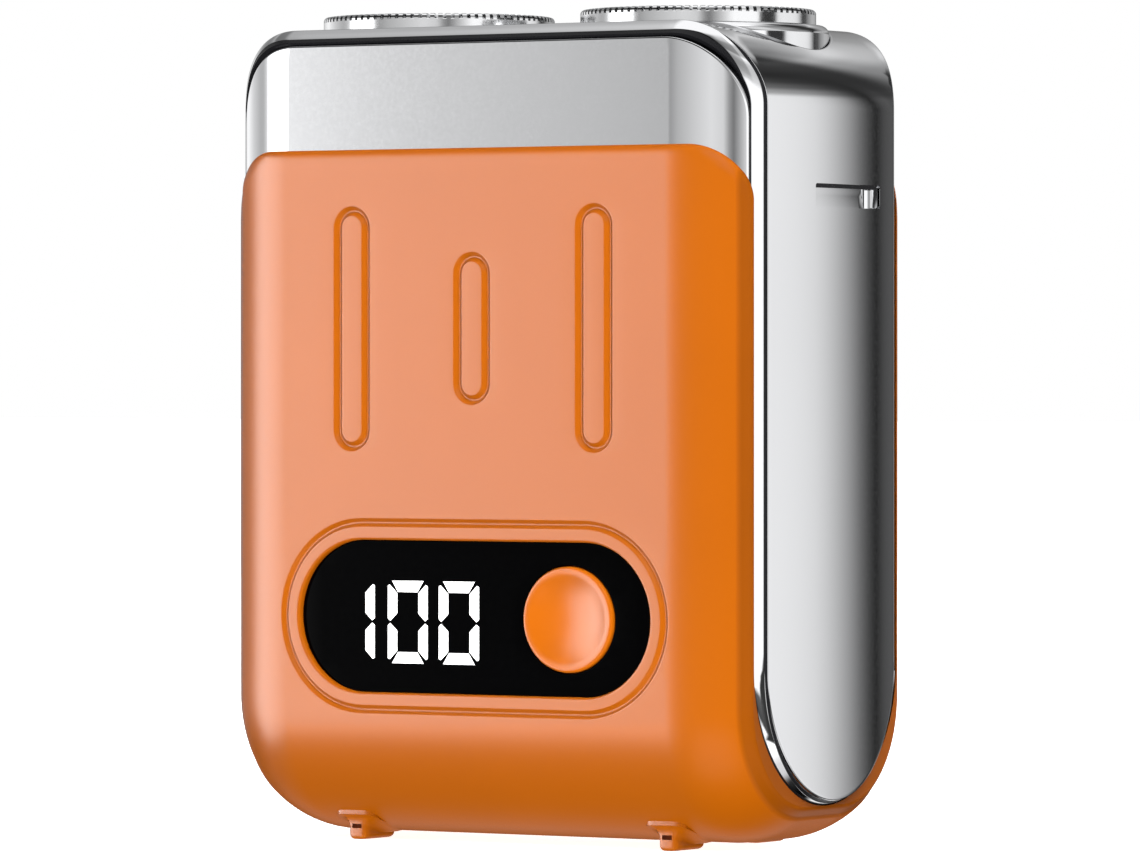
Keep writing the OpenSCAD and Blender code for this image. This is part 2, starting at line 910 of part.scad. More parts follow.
module deck_magnet() {
    color([0.75, 0.76, 0.78]) translate([0, 0, plate_bottom])
        cylinder(r = magnet_r, h = deck_bottom - 0.1 - plate_bottom);
}

// A shaving foil: a slotted cap with a retaining flange at its foot
module foil(side) {
    inner_r = foil_r - foil_t;
    color([0.8, 0.81, 0.83]) translate([side * head_x, 0, 0]) {
        difference() {
            union() {
                translate([0, 0, flange_bottom]) cylinder(r = foil_r, h = foil_top - flange_bottom);
                translate([0, 0, flange_bottom])
                    cylinder(r = flange_r, h = lip_bottom - flange_bottom);
            }
            cylinder(r = inner_r, h = foil_top - foil_t);
            cylinder(r = foil_cap_r, h = big);
            translate([0, 0, foil_top - foil_t - 0.1]) for (i = [0 : foil_slots - 1])
                rotate(360 / foil_slots * i) translate([foil_slot_r, -foil_slot[1] / 2, 0])
                    cube([foil_slot[0], foil_slot[1], 1]);
        }
    }
}

module foil_left() {
    foil(-1);
}

module foil_right() {
    foil(1);
}

// The disc in the middle of a foil
module foil_cap(side) {
    color([0.6, 0.61, 0.63]) translate([side * head_x, 0, foil_top - foil_t])
        cylinder(r = foil_cap_r, h = foil_t - 0.05);
}

module foil_cap_left() {
    foil_cap(-1);
}

module foil_cap_right() {
    foil_cap(1);
}

// The ring of blades that turns under a foil
module cutter(side) {
    color([0.7, 0.71, 0.73]) translate([side * head_x, 0, 0]) {
        difference() {
            translate([0, 0, blade_bottom]) cylinder(r = 10.9, h = 0.5);
            translate([0, 0, blade_bottom - 1]) cylinder(r = 5, h = 3);
        }
        for (i = [0 : blade_count - 1]) rotate(360 / blade_count * i)
            translate([6.8, -0.25, blade_bottom + 0.5])
                cube([3.9, 0.5, blade_top - blade_bottom - 0.5]);
    }
}

module cutter_left() {
    cutter(-1);
}

module cutter_right() {
    cutter(1);
}

// The plastic hub that carries the blades on the coupler's tip
module cutter_hub(side) {
    color([0.25, 0.25, 0.27]) translate([side * head_x, 0, 0])
        difference() {
            union() {
                translate([0, 0, hub_bottom]) cylinder(r = 3.9, h = blade_bottom - hub_bottom);
                translate([0, 0, blade_bottom - 0.5]) cylinder(r = 6, h = 0.5);
                translate([0, 0, blade_bottom]) cylinder(r = 5, h = 0.8);
            }
            translate([-coupler_tip[0] / 2 - tip_gap, -coupler_tip[1] / 2 - tip_gap, 0])
                cube([coupler_tip[0] + 2 * tip_gap, coupler_tip[1] + 2 * tip_gap, coupler_top + 0.4]);
        }
}

module cutter_hub_left() {
    cutter_hub(-1);
}

module cutter_hub_right() {
    cutter_hub(1);
}

chrome_frame();
front_shell();
rear_shell();
wrap_cover();
display_window();
display_digits();
display_module();
power_button();
tact_switch();
main_board();
board_screws();
usb_socket();
charge_board();
battery_cell();
battery_cradle();
battery_tabs();
chassis();
motor_can();
motor_magnets();
motor_end_cap();
motor_screws();
motor_rotor();
motor_pinion();
drive_gear_left();
drive_gear_right();
axle_left();
axle_right();
coupler_left();
coupler_right();
coupler_spring_left();
coupler_spring_right();
gearbox_cover();
cover_screws();
shaft_seals();
body_magnet();
deck_gasket();
head_deck();
retaining_plate();
retaining_screws();
deck_magnet();
foil_left();
foil_right();
foil_cap_left();
foil_cap_right();
cutter_left();
cutter_right();
cutter_hub_left();
cutter_hub_right();
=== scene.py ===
"""The looks of the pocket rotary shaver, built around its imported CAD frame.

Lengths in this script are millimetres until a mesh is made; the scene itself is in metres.
"""

import json
import math

import bpy
import numpy as np
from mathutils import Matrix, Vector, kdtree
from mathutils.geometry import delaunay_2d_cdt


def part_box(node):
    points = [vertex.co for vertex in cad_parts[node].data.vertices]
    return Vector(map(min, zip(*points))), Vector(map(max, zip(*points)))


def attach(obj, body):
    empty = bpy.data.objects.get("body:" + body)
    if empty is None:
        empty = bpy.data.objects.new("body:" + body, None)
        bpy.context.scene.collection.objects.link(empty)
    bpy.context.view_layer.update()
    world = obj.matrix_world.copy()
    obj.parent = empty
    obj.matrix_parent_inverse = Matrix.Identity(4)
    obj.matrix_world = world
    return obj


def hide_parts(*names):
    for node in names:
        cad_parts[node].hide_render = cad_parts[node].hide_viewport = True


MM = 0.001
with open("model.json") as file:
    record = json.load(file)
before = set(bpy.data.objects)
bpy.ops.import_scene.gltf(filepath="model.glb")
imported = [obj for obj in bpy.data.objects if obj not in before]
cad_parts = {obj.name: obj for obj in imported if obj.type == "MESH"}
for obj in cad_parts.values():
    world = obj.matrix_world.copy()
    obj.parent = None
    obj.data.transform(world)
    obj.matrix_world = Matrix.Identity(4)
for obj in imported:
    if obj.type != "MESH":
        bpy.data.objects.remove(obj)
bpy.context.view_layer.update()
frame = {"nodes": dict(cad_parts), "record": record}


def node_box(node):
    """Lowest and highest corner of a CAD node, in millimetres."""
    low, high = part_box(node)
    return np.array(low) / MM, np.array(high) / MM


# ---- sizes, from the frame ----

COVER_HIGH = node_box("wrap_cover")[1]
FRAME_HIGH = node_box("chrome_frame")[1]
SHELL_HIGH = node_box("front_shell")[1]
PORT_HIGH = node_box("usb_socket")[1]
DECK_LOW, DECK_HIGH = node_box("head_deck")
FOIL_LOW, FOIL_HIGH = node_box("foil_right")
WINDOW_LOW, WINDOW_HIGH = node_box("display_window")
BUTTON_LOW, BUTTON_HIGH = node_box("power_button")
DIGITS_LOW, DIGITS_HIGH = node_box("display_digits")

# The body: a flat front and back with rounded side edges and a round belly.
HALF_D = COVER_HIGH[1]
FOOT_H = 0.6
BELLY_R = 14.0
BELLY_Y = HALF_D - BELLY_R
BELLY_Z = FOOT_H + BELLY_R
EDGE_R = 11.0
FLAT_X = 22.1

# The orange cover, and where its inner face leaves the body's form for the side faces' outline.
COVER_W = COVER_HIGH[0] - 0.22
COVER_TOP = COVER_HIGH[2]
COVER_T = 0.7
COVER_GAP = 0.06
COVER_CORNER = 5.7
INNER_X = 29.3
CREASE_X, CREASE_RUN, CREASE_DEEP = 28.72, 0.42, 0.24
LOOPS = ((-14.1, 38.6, 62.9), (0.0, 43.2, 58.3), (14.1, 38.6, 62.9))
LOOP_HALF = 2.2
GROOVE, GROOVE_DEEP = 0.55, 0.42
RING_OUT, RING_HALF, RING_DEEP = 1.7, 0.5, 0.34
LIP_R = 0.3

# The front feet (half width, Y range, rounding, flare) and the dark blocks painted as shadow in the slot of
# each (half width, Z range, depth).
LUG_X, LUG_HALF, LUG_Y, LUG_ROUND, LUG_FLARE = 18.15, 1.1, (5.0, 10.5), 0.55, 1.3
LUG_SLOT_SHADOW = (0.55, 1.1, 2.65, 1.7)

# The side faces and the polished frame.
FACE_W = SHELL_HIGH[0]
FACE_TOP = SHELL_HIGH[2]
BODY_TOP = FRAME_HIGH[2]
CROWN = 0.5
SIDE_X = FRAME_HIGH[0] - CROWN
SLOT_R, SLOT_Z = 13.6, 17.9
SIDE_Y, SIDE_END = 12.1, 13.1
TOP_Y, TOP_R = 15.3, 8.2
SIDE_SINK = 0.26
FRAME_WALL = 1.6
NOTCH_Y = (-3.8, 8.9)
NOTCH_Z = (62.5, 64.8)

# The deck with its heads.
HEAD_X = (FOIL_LOW[0] + FOIL_HIGH[0]) / 2
FOIL_R = 11.6
FOIL_TOP = FOIL_HIGH[2]
FOIL_SLOTS = 90
DECK_R = DECK_HIGH[1]
DECK_TOP = DECK_HIGH[2]
DECK_GAP = 0.12
DECK_EDGE = 0.9

# The display and the button.
DISPLAY_Z = (WINDOW_LOW[2] + WINDOW_HIGH[2]) / 2
WINDOW_W = WINDOW_HIGH[0] + 0.05
WINDOW_H = (WINDOW_HIGH[2] - WINDOW_LOW[2]) / 2 + 0.05
LENS_Y = WINDOW_LOW[1] - 0.08
BUTTON_X = (BUTTON_LOW[0] + BUTTON_HIGH[0]) / 2
BUTTON_R = 5.15
BUTTON_GAP = 0.1


# ---- outlines ----

def densify(loop, step):
    """The same closed loop with no edge longer than step."""
    points = []
    for a, b in zip(loop, np.roll(loop, -1, axis=0)):
        count = max(1, int(math.ceil(np.hypot(*(b - a)) / step)))
        points += [a + (b - a) * i / count for i in range(count)]
    return np.array(points)


def clean(loop):
    """The loop without points that repeat."""
    keep = np.hypot(*(loop - np.roll(loop, 1, axis=0)).T) > 1e-4
    return loop[keep]


def stadium_loop(centre, half_length, radius, upright=False, arc=28, step=1.2):
    """A slot outline with round ends, counter-clockwise."""
    reach = half_length - radius
    turn = np.linspace(-math.pi / 2, math.pi / 2, arc + 1)
    right = np.c_[reach + radius * np.cos(turn), radius * np.sin(turn)]
    loop = clean(np.r_[right, -right])
    if upright:
        loop = np.c_[-loop[:, 1], loop[:, 0]]
    return densify(loop, step) + np.array(centre)


def stadium_distance(p, centre, half_length, radius, upright=False):
    """Signed distance to a slot outline, negative inside."""
    q = np.abs(p - np.array(centre))
    if upright:
        q = q[:, ::-1]
    return np.hypot(np.maximum(q[:, 0] - (half_length - radius), 0), q[:, 1]) - radius


def box_loop(low, high, radius, arc=8, step=1.0):
    """A rectangle with round corners, counter-clockwise."""
    turns = np.linspace(0, math.pi / 2, arc + 1)
    corners = []
    for i, (sx, sy) in enumerate(((1, 1), (-1, 1), (-1, -1), (1, -1))):
        centre = np.array([
            (high[0] - radius) if sx > 0 else (low[0] + radius),
            (high[1] - radius) if sy > 0 else (low[1] + radius),
        ])
        angle = turns + i * math.pi / 2
        corners.append(centre + radius * np.c_[np.cos(angle), np.sin(angle)])
    return densify(clean(np.vstack(corners)), step)


def circle_loop(centre, radius, count=120):
    turn = np.linspace(0, 2 * math.pi, count, endpoint=False)
    return np.array(centre) + radius * np.c_[np.cos(turn), np.sin(turn)]


def head_loop(radius, arc=60, step=1.0):
    """The outline round both heads, at a radius from the line between them."""
    return stadium_loop((0, 0), HEAD_X + radius, radius, False, arc, step)


def window_loop(v, grow=0.0, arc=40):
    """The window's outline, with its middle at the height v."""
    return stadium_loop((0, v), WINDOW_W + grow, WINDOW_H + grow, False, arc)


def sheet_loop(half_w, length, corner, inset, arc, step):
    """The outline of an unrolled sheet, set in from its edge."""
    low, high = (-half_w + inset, inset), (half_w - inset, length - inset)
    return box_loop(low, high, corner - inset, arc, step)


def inside(loop, points):
    """Which points lie inside a closed loop."""
    x, y = points[:, 0], points[:, 1]
    found = np.zeros(len(points), bool)
    for (ax, ay), (bx, by) in zip(loop, np.roll(loop, -1, axis=0)):
        if ay == by:
            continue
        crosses = (ay > y) != (by > y)
        found ^= crosses & (x < (bx - ax) * (y - ay) / (by - ay) + ax)
    return found


def grid(us, vs):
    """All pairs of two lists, as points."""
    return np.array([(u, v) for u in us for v in vs])


def spread(*stops):
    """Values from stop to stop: start, (end, step), (end, step) and so on."""
    values = [stops[0]]
    for end, step in stops[1:]:
        count = max(1, int(round((end - values[-1]) / step)))
        start = values[-1]
        values += [start + (end - start) * (i + 1) / count for i in range(count)]
    return np.array(values)


SEED_ROOM = 0.35


def triangulate(outer, holes, lines, seeds):
    """Triangles that fill outer, without the holes, and follow every line."""
    loops = [outer, *holes, *lines]
    coords, edges = [], []
    for loop in loops:
        start = len(coords)
        coords += [Vector(p) for p in loop]
        edges += [(start + i, start + (i + 1) % len(loop)) for i in range(len(loop))]
    ok = inside(outer, seeds)
    for hole in holes:
        ok &= ~inside(hole, seeds)
    tree = kdtree.KDTree(len(coords))
    for i, c in enumerate(coords):
        tree.insert((c[0], c[1], 0), i)
    tree.balance()
    coords += [Vector(p) for p in seeds[ok] if tree.find((p[0], p[1], 0))[2] > SEED_ROOM]
    made = delaunay_2d_cdt(coords, edges, [], 1, 1e-5)
    points = np.array([(v[0], v[1]) for v in made[0]])
    triangles = np.array([f for f in made[2] if len(f) == 3])
    middle = points[triangles].mean(axis=1)
    drop = np.zeros(len(triangles), bool)
    for hole in holes:
        drop |= inside(hole, middle)
    triangles = triangles[~drop]
    used = np.unique(triangles)
    renumber = np.full(len(points), -1)
    renumber[used] = np.arange(len(used))
    return points[used], renumber[triangles]


# ---- meshes ----

def unit(v):
    """Vectors made one long."""
    return v / np.maximum(np.linalg.norm(v, axis=-1, keepdims=True), 1e-12)


def surface_normals(place, q):
    """The normal of a placed surface at each point, by small steps."""
    h = 0.01
    du = place(q + [h, 0]) - place(q - [h, 0])
    dv = place(q + [0, h]) - place(q - [0, h])
    return unit(np.cross(du, dv))


def make_object(name, points, faces, corner_normals=None):
    """A new smooth object from points in millimetres."""
    mesh = bpy.data.meshes.new(name)
    mesh.from_pydata((np.asarray(points) * MM).tolist(), [], [list(map(int, f)) for f in faces])
    mesh.polygons.foreach_set("use_smooth", [True] * len(mesh.polygons))
    if corner_normals is not None:
        mesh.normals_split_custom_set(np.asarray(corner_normals).tolist())
    mesh.update()
    piece = bpy.data.objects.new(name, mesh)
    bpy.context.scene.collection.objects.link(piece)
    return piece


SMOOTH_WALLS = math.radians(40)


def thick_skin(q, triangles, top, bottom):
    """A closed solid between two placed copies of a flat triangulation: points, faces, corner normals."""
    upper, lower = top(q), bottom(q)
    n_up, n_low = surface_normals(top, q), surface_normals(bottom, q)
    tri = triangles.copy()
    a, b, c = (upper[tri[:, i]] for i in range(3))
    face_n = np.cross(b - a, c - a)
    outwards = (face_n * (upper - lower)[tri[:, 0]]).sum() > 0
    if not outwards:
        tri = tri[:, ::-1]
        face_n = -face_n
    if (face_n * n_up[tri[:, 0]]).sum() < 0:
        n_up, n_low = -n_up, -n_low
    count = len(q)
    directed = dict.fromkeys((int(t[i]), int(t[(i + 1) % 3])) for t in tri for i in range(3))
    rim = [e for e in directed if (e[1], e[0]) not in directed]
    points = np.vstack([upper, lower])
    faces = [tuple(t) for t in tri] + [tuple(t + count)[::-1] for t in tri]
    normals = [n_up[i] for t in tri for i in t]
    normals += [-n_low[i] for t in tri for i in tuple(t)[::-1]]
    walls, wall_n = [], []
    for i, j in rim:
        walls.append((j, i, i + count, j + count))
        wall_n.append(np.cross(points[i] - points[j], points[i + count] - points[j]))
    wall_n = unit(np.array(wall_n))
    at = {}
    for k, (j, i, _, _) in enumerate(walls):
        at.setdefault(i, []).append(k)
        at.setdefault(j, []).append(k)
    for k, face in enumerate(walls):
        for v in face:
            near = [m for m in at[v % count] if wall_n[m] @ wall_n[k] > math.cos(SMOOTH_WALLS)]
            normals.append(unit(wall_n[near].sum(axis=0)))
    return points, faces + walls, normals


def swept(rings, closed=True, cap=False):
    """Points and faces of a tube whose cross-sections are the given rings of points."""
    rings = np.asarray(rings)
    n, m = rings.shape[:2]
    points = rings.reshape(-1, 3)
    faces = []
    for i in range(n if closed else n - 1):
        j = (i + 1) % n
        for k in range(m):
            l = (k + 1) % m
            faces.append((i * m + k, i * m + l, j * m + l, j * m + k))
    if cap and not closed:
        faces.append(tuple(range(m))[::-1])
        faces.append(tuple((n - 1) * m + k for k in range(m)))
    return points, faces


def lathe(profile, segments=96):
    """Points and faces of a closed profile of (radius, height) turned about Z."""
    profile = np.asarray(profile, float)
    turn = np.linspace(0, 2 * math.pi, segments, endpoint=False)
    rings = np.array([
        np.c_[profile[:, 0] * math.cos(t), profile[:, 0] * math.sin(t), profile[:, 1]]
        for t in turn
    ])
    return swept(rings)


def joined(*parts):
    """Several (points, faces) as one."""
    points, faces, start = [], [], 0
    for p, f in parts:
        points.append(np.asarray(p))
        faces += [tuple(int(i) + start for i in face) for face in f]
        start += len(p)
    return np.vstack(points), faces


def shade_by_angle(piece, degrees):
    """Smooth shading, with the mesh's edges sharper than the angle kept sharp."""
    mesh = piece.data
    limit = math.radians(degrees)
    sharp = [False] * len(mesh.edges)
    face_of = {}
    for poly in mesh.polygons:
        for key in poly.edge_keys:
            face_of.setdefault(key, []).append(poly.normal)
    for i, edge in enumerate(mesh.edges):
        near = face_of.get(tuple(sorted(edge.vertices)), [])
        if len(near) == 2 and near[0].angle(near[1], 0) > limit:
            sharp[i] = True
    layer = mesh.attributes.new("sharp_edge", "BOOLEAN", "EDGE")
    layer.data.foreach_set("value", sharp)


def add_piece(name, shape, body, slot, *nodes, sharp=None, look=None):
    """Adds a piece with its body, its slot and the CAD nodes that it stands for.

    sharp is the angle that keeps an edge sharp; look is a material other than the slot's own.
    """
    piece = make_object(name, *shape)
    if sharp:
        shade_by_angle(piece, sharp)
    piece.data.materials.append(MATERIALS[look or slot])
    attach(piece, body)
    if nodes:
        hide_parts(*nodes)


# ---- materials ----

def fill(tree, node, inputs):
    """Sets a node's inputs: links where the value is another node's output, numbers elsewhere."""
    for key, value in inputs.items():
        if isinstance(value, bpy.types.NodeSocket):
            tree.links.new(value, node.inputs[key])
        else:
            node.inputs[key].default_value = value


def put(tree, kind, inputs=None, operation=None):
    """A new shader node with its inputs."""
    node = tree.nodes.new("ShaderNode" + kind)
    if operation:
        node.operation = operation
    fill(tree, node, inputs or {})
    return node


def ramp_of(tree, value, stops, curve="LINEAR"):
    """A colour ramp through (position, colour) stops."""
    node = put(tree, "ValToRGB", {0: value})
    node.color_ramp.interpolation = curve
    marks = node.color_ramp.elements
    for position, colour in stops[1:-1]:
        marks.new(position).color = (*colour, 1)
    marks[0].position, marks[0].color = stops[0][0], (*stops[0][1], 1)
    marks[-1].position, marks[-1].color = stops[-1][0], (*stops[-1][1], 1)
    return node.outputs[0]


def material(name):
    """A new material, with its tree, shader and object coordinates."""
    made = bpy.data.materials.new(name)
    made.use_nodes = True
    tree = made.node_tree
    tree.nodes.clear()
    shader = put(tree, "BsdfPrincipled")
    put(tree, "OutputMaterial", {"Surface": shader.outputs[0]})
    return made, tree, shader, put(tree, "TexCoord").outputs["Object"]


def noise(tree, place, scale, detail=3.0, stretch=None):
    """A noise value over the surface; scale is in cycles per metre."""
    if stretch:
        place = put(tree, "Mapping", {"Vector": place, "Scale": stretch}).outputs[0]
    return put(tree, "TexNoise", {"Vector": place, "Scale": scale, "Detail": detail}).outputs["Fac"]


def between(tree, value, low, high, start=0.3, end=0.7):
    """A value from start to end becomes a colour or a number from low to high."""
    if isinstance(low, tuple):
        return ramp_of(tree, value, [(start, low), (end, high)])
    ranges = {"Value": value, "From Min": start, "From Max": end, "To Min": low, "To Max": high}
    return put(tree, "MapRange", ranges).outputs[0]


def tint(colour, factor):
    return tuple(min(1.0, c * factor) for c in colour)


def finish(name, colour, roughness, metallic=0.0, vary=0.08, patch=90.0, grain=4000.0,
           depth=0.000004, stretch=None, rough_range=0.05, ior=1.5, shine=0.5):
    """A moulded, cast, ground or plated surface: uneven colour and gloss, and fine grain."""
    made, tree, shader, place = material(name)
    blotches, fine = noise(tree, place, patch), noise(tree, place, grain, 2.0, stretch)
    fill(tree, shader, {
        "Base Color": between(tree, blotches, tint(colour, 1 - vary), tint(colour, 1 + vary)),
        "Roughness": between(tree, fine, max(0.02, roughness - rough_range), roughness + rough_range),
        "Metallic": metallic, "IOR": ior, "Specular IOR Level": shine,
    })
    if depth:
        bump = put(tree, "Bump", {"Height": fine, "Distance": depth, "Strength": 1.0})
        fill(tree, shader, {"Normal": bump.outputs[0]})
    return made


def paint_rim_shade(made, from_x, run, share):
    """Paints shade into a material's colour: darker beyond a distance from the middle of the body, where
    the cover's rim faces away from the lights.
    """
    tree = made.node_tree
    shader = next(n for n in tree.nodes if n.type == "BSDF_PRINCIPLED")
    source = shader.inputs["Base Color"].links[0].from_socket
    axes = put(tree, "SeparateXYZ", {0: put(tree, "TexCoord").outputs["Object"]})
    distance = put(tree, "Math", {0: axes.outputs[0]}, "ABSOLUTE").outputs[0]
    fade = between(tree, distance, 1.0, share, from_x * MM, (from_x + run) * MM)
    scaled = put(tree, "VectorMath", {0: source, "Scale": fade}, "SCALE")
    fill(tree, shader, {"Base Color": scaled.outputs[0]})


def lit(name, colour, strength):
    """A lit segment with a slightly uneven glow."""
    made, tree, shader, place = material(name)
    glow = between(tree, noise(tree, place, 900.0), tint(colour, 0.96), colour)
    look = {"Base Color": glow, "Emission Color": glow, "Emission Strength": strength, "Roughness": 0.4}
    fill(tree, shader, look)
    return made


ORANGE = (0.25, 0.057, 0.0008)
CHROME = (0.86, 0.865, 0.88)
STEEL = (0.6, 0.61, 0.63)
PLATED = dict(vary=0.015, patch=30, grain=2500, depth=0, rough_range=0.02)
SOFT_TOUCH = dict(vary=0.03, grain=9000, depth=0.000002, rough_range=0.04, ior=1.6)
SHADOW = dict(vary=0.1, depth=0, rough_range=0.04)
# Each slot's colour, roughness and metallic, and what else differs from finish's own values.
LOOKS = {
    "polished_casing": (CHROME, 0.055, 1.0, PLATED),
    "polished_shell": (CHROME, 0.07, 1.0, PLATED),
    "polished_deck": (CHROME, 0.09, 1.0, dict(PLATED, vary=0.02, patch=40)),
    "orange_cover": (ORANGE, 0.33, 0.0, dict(SOFT_TOUCH, patch=40, shine=0.06)),
    "orange_button": ((0.31, 0.07, 0.001), 0.33, 0.0, dict(SOFT_TOUCH, patch=120, shine=0.055)),
    # Painted shadow: near-black colour for the strips in the bevel's seams and for the notch's slit.
    "seam_shadow": ((0.006, 0.006, 0.007), 0.3, 0.0, dict(SHADOW, patch=60, shine=0.15)),
    # Painted shadow: dark brown colour for the blocks in the slot of each foot, the orange inside in shade.
    "slot_shadow": ((0.04, 0.007, 0.002), 0.7, 0.0, dict(SHADOW, patch=200, shine=0.1)),
    "black_window": (
        (0.0003, 0.0003, 0.0004), 0.12, 0.0,
        dict(vary=0.2, patch=60, grain=1500, depth=0, rough_range=0.03, shine=0.03),
    ),
    "black_plastic": ((0.025, 0.025, 0.027), 0.5, 0.0, {}),
    "grey_plastic": ((0.11, 0.11, 0.12), 0.55, 0.0, {}),
    "white_plastic": ((0.72, 0.71, 0.67), 0.45, 0.0, {}),
    "gear_plastic": ((0.78, 0.77, 0.71), 0.38, 0.0, {}),
    "circuit_board": (
        (0.015, 0.12, 0.05), 0.3, 0.0,
        dict(vary=0.2, patch=400, grain=6000, depth=0.000006),
    ),
    "battery_sleeve": (
        (0.03, 0.10, 0.28), 0.25, 0.0,
        dict(vary=0.1, patch=120, grain=1500, depth=0.000005),
    ),
    "nickel": ((0.62, 0.59, 0.52), 0.3, 1.0, {}),
    "magnet_nickel": ((0.6, 0.6, 0.6), 0.18, 1.0, {}),
    "motor_steel": (
        (0.5, 0.5, 0.51), 0.32, 1.0,
        dict(vary=0.1, patch=80, grain=2500, depth=0.000003, stretch=(1, 1, 12)),
    ),
    "ferrite": ((0.05, 0.05, 0.055), 0.7, 0.0, {}),
    "rotor_copper": (
        (0.6, 0.27, 0.12), 0.35, 1.0,
        dict(vary=0.25, patch=500, grain=3000, depth=0.00002, stretch=(1, 1, 0.1)),
    ),
    "brass": ((0.7, 0.5, 0.2), 0.28, 1.0, {}),
    "pin_steel": ((0.62, 0.63, 0.65), 0.2, 1.0, {}),
    "screw_steel": ((0.55, 0.55, 0.56), 0.3, 1.0, {}),
    "socket_steel": (STEEL, 0.25, 1.0, {}),
    "spring_steel": (STEEL, 0.22, 1.0, {}),
    "foil_steel": (
        (0.82, 0.825, 0.835), 0.12, 1.0,
        dict(vary=0.03, patch=200, grain=5000, depth=0.000001, rough_range=0.03),
    ),
    "foil_cap_steel": (STEEL, 0.25, 1.0, dict(vary=0.06, patch=200, depth=0.000002)),
    "cutter_steel": ((0.5, 0.51, 0.53), 0.25, 1.0, {}),
    "seal_rubber": (
        (0.015, 0.015, 0.016), 0.65, 0.0,
        dict(vary=0.2, patch=300, grain=5000, depth=0.00001),
    ),
}
MATERIALS = {name: finish(name, *look[:3], **look[3]) for name, look in LOOKS.items()}
MATERIALS["lit_digits"] = lit("lit_digits", (1.0, 1.0, 1.0), 1.3)
# Painted shade: the orange cover's rim beyond the crease is darkened in colour, standing in for the shade
# on the side that faces away from the lights.
paint_rim_shade(MATERIALS["orange_cover"], CREASE_X, 0.35, 0.66)


# ---- the body's form ----

def edge_depth(x, inset):
    """How far the rounded side edges fall behind the plane of the front."""
    over = np.maximum(np.abs(x) - FLAT_X, 0)
    return EDGE_R - np.sqrt(np.maximum((EDGE_R - inset) ** 2 - over ** 2, 0.01))


def path_length(top):
    """Length of the line down the front, under the belly and up the back."""
    return 2 * (top - BELLY_Z) + math.pi * BELLY_R + 2 * BELLY_Y


def path_at(s, top):
    """Y, Z and the outward direction along the line down the front, under and up the back."""
    total = path_length(top)
    back = s > total / 2
    t = np.where(back, total - s, s)
    straight = top - BELLY_Z
    turn = np.clip((t - straight) / BELLY_R, 0, math.pi / 2)
    along = np.maximum(t - straight - BELLY_R * math.pi / 2, 0)
    y = -BELLY_Y - BELLY_R * np.cos(turn) + along
    z = BELLY_Z - BELLY_R * np.sin(turn) + np.maximum(straight - t, 0)
    ny, nz = -np.cos(turn), -np.sin(turn)
    side = np.where(back, -1.0, 1.0)
    return y * side, z, ny * side, nz


def on_path(q, depth, top):
    """Sheet coordinates as points in space, at a depth under the body's form."""
    y, z, ny, nz = path_at(q[:, 1], top)
    return np.c_[q[:, 0], y - ny * depth, z - nz * depth]


def fillet(e, r):
    """Depth of a rounded edge of radius r at the distance e from the edge."""
    e = np.clip(e, 0, r)
    return r - np.sqrt(np.maximum(r * r - (r - e) ** 2, 0))


def groove(distance, half_width, depth):
    """A round-bottomed groove across the given distance from its middle line."""
    share = np.clip(np.abs(distance) / half_width, 0, 1)
    return depth * np.cos(share * math.pi / 2) ** 2


# ---- the orange cover ----

COVER_S = path_length(COVER_TOP)
PORT_HALF = (PORT_HIGH[0] + 0.2, PORT_HIGH[1] + 0.2)


def from_front(q):
    """Cover coordinates as X and Z seen from the front or the back."""
    near = np.minimum(q[:, 1], COVER_S - q[:, 1])
    return np.c_[q[:, 0], COVER_TOP - near]


def cover_edge(q):
    """Depth of the rounding along the cover's edges: full at its ends, small at its sides."""
    near = np.minimum(q[:, 1], COVER_S - q[:, 1])
    over = np.maximum(np.abs(q[:, 0]) - (COVER_W - COVER_CORNER), 0)
    up = COVER_CORNER - near
    corner = COVER_CORNER - np.hypot(over, np.maximum(up, 0))
    sides = COVER_W - np.abs(q[:, 0])
    e = np.where(up > 0, corner, sides)
    stops = [2.0, COVER_CORNER + 1.0]
    return fillet(e * np.interp(near, stops, [0.45, 1.0]), np.interp(near, stops, [COVER_T, 0.24]))


def cover_relief(q):
    """Depth of the moulded detail: edges, grooves, ring, window lip and port lip."""
    face = from_front(q)
    front = q[:, 1] < COVER_S / 2
    depth = cover_edge(q)
    for x, low, high in LOOPS:
        half = (high - low) / 2
        d = stadium_distance(face, (x, low + half), half - GROOVE, LOOP_HALF - GROOVE, True)
        depth = depth + groove(d, GROOVE, GROOVE_DEEP)
    w = stadium_distance(face, (0, DISPLAY_Z), WINDOW_W, WINDOW_H)
    ring = groove(w - RING_OUT, RING_HALF, RING_DEEP) + fillet(w, LIP_R)
    depth = depth + np.where(front, ring, 0)
    port = stadium_distance(q, (0, COVER_S / 2), *PORT_HALF)
    depth = depth + fillet(port, LIP_R)
    step = np.clip((np.abs(q[:, 0]) - CREASE_X) / CREASE_RUN, 0, 1)
    return depth + CREASE_DEEP * step * step * (3 - 2 * step)


def cover_top(q):
    return on_path(q, edge_depth(q[:, 0], 0) + cover_relief(q), COVER_TOP)


def slot_depth(q):
    """Depth, from the body's outer line, of the side faces' outline."""
    y, z, ny, nz = path_at(q[:, 1], COVER_TOP)
    drop = z - SLOT_Z
    b = ny * y + nz * drop
    c = y * y + drop * drop - SLOT_R ** 2
    reach = b - np.sqrt(np.maximum(b * b - c, 0))
    straight = np.abs(y) - SLOT_R
    return np.where(drop > 0, straight, reach)


def cover_bottom(q):
    share = np.clip((np.abs(q[:, 0]) - INNER_X) / (COVER_W - INNER_X), 0, 1)
    depth = edge_depth(np.minimum(np.abs(q[:, 0]), INNER_X), 0) + COVER_T + COVER_GAP
    return on_path(q, depth * (1 - share) + slot_depth(q) * share, COVER_TOP)


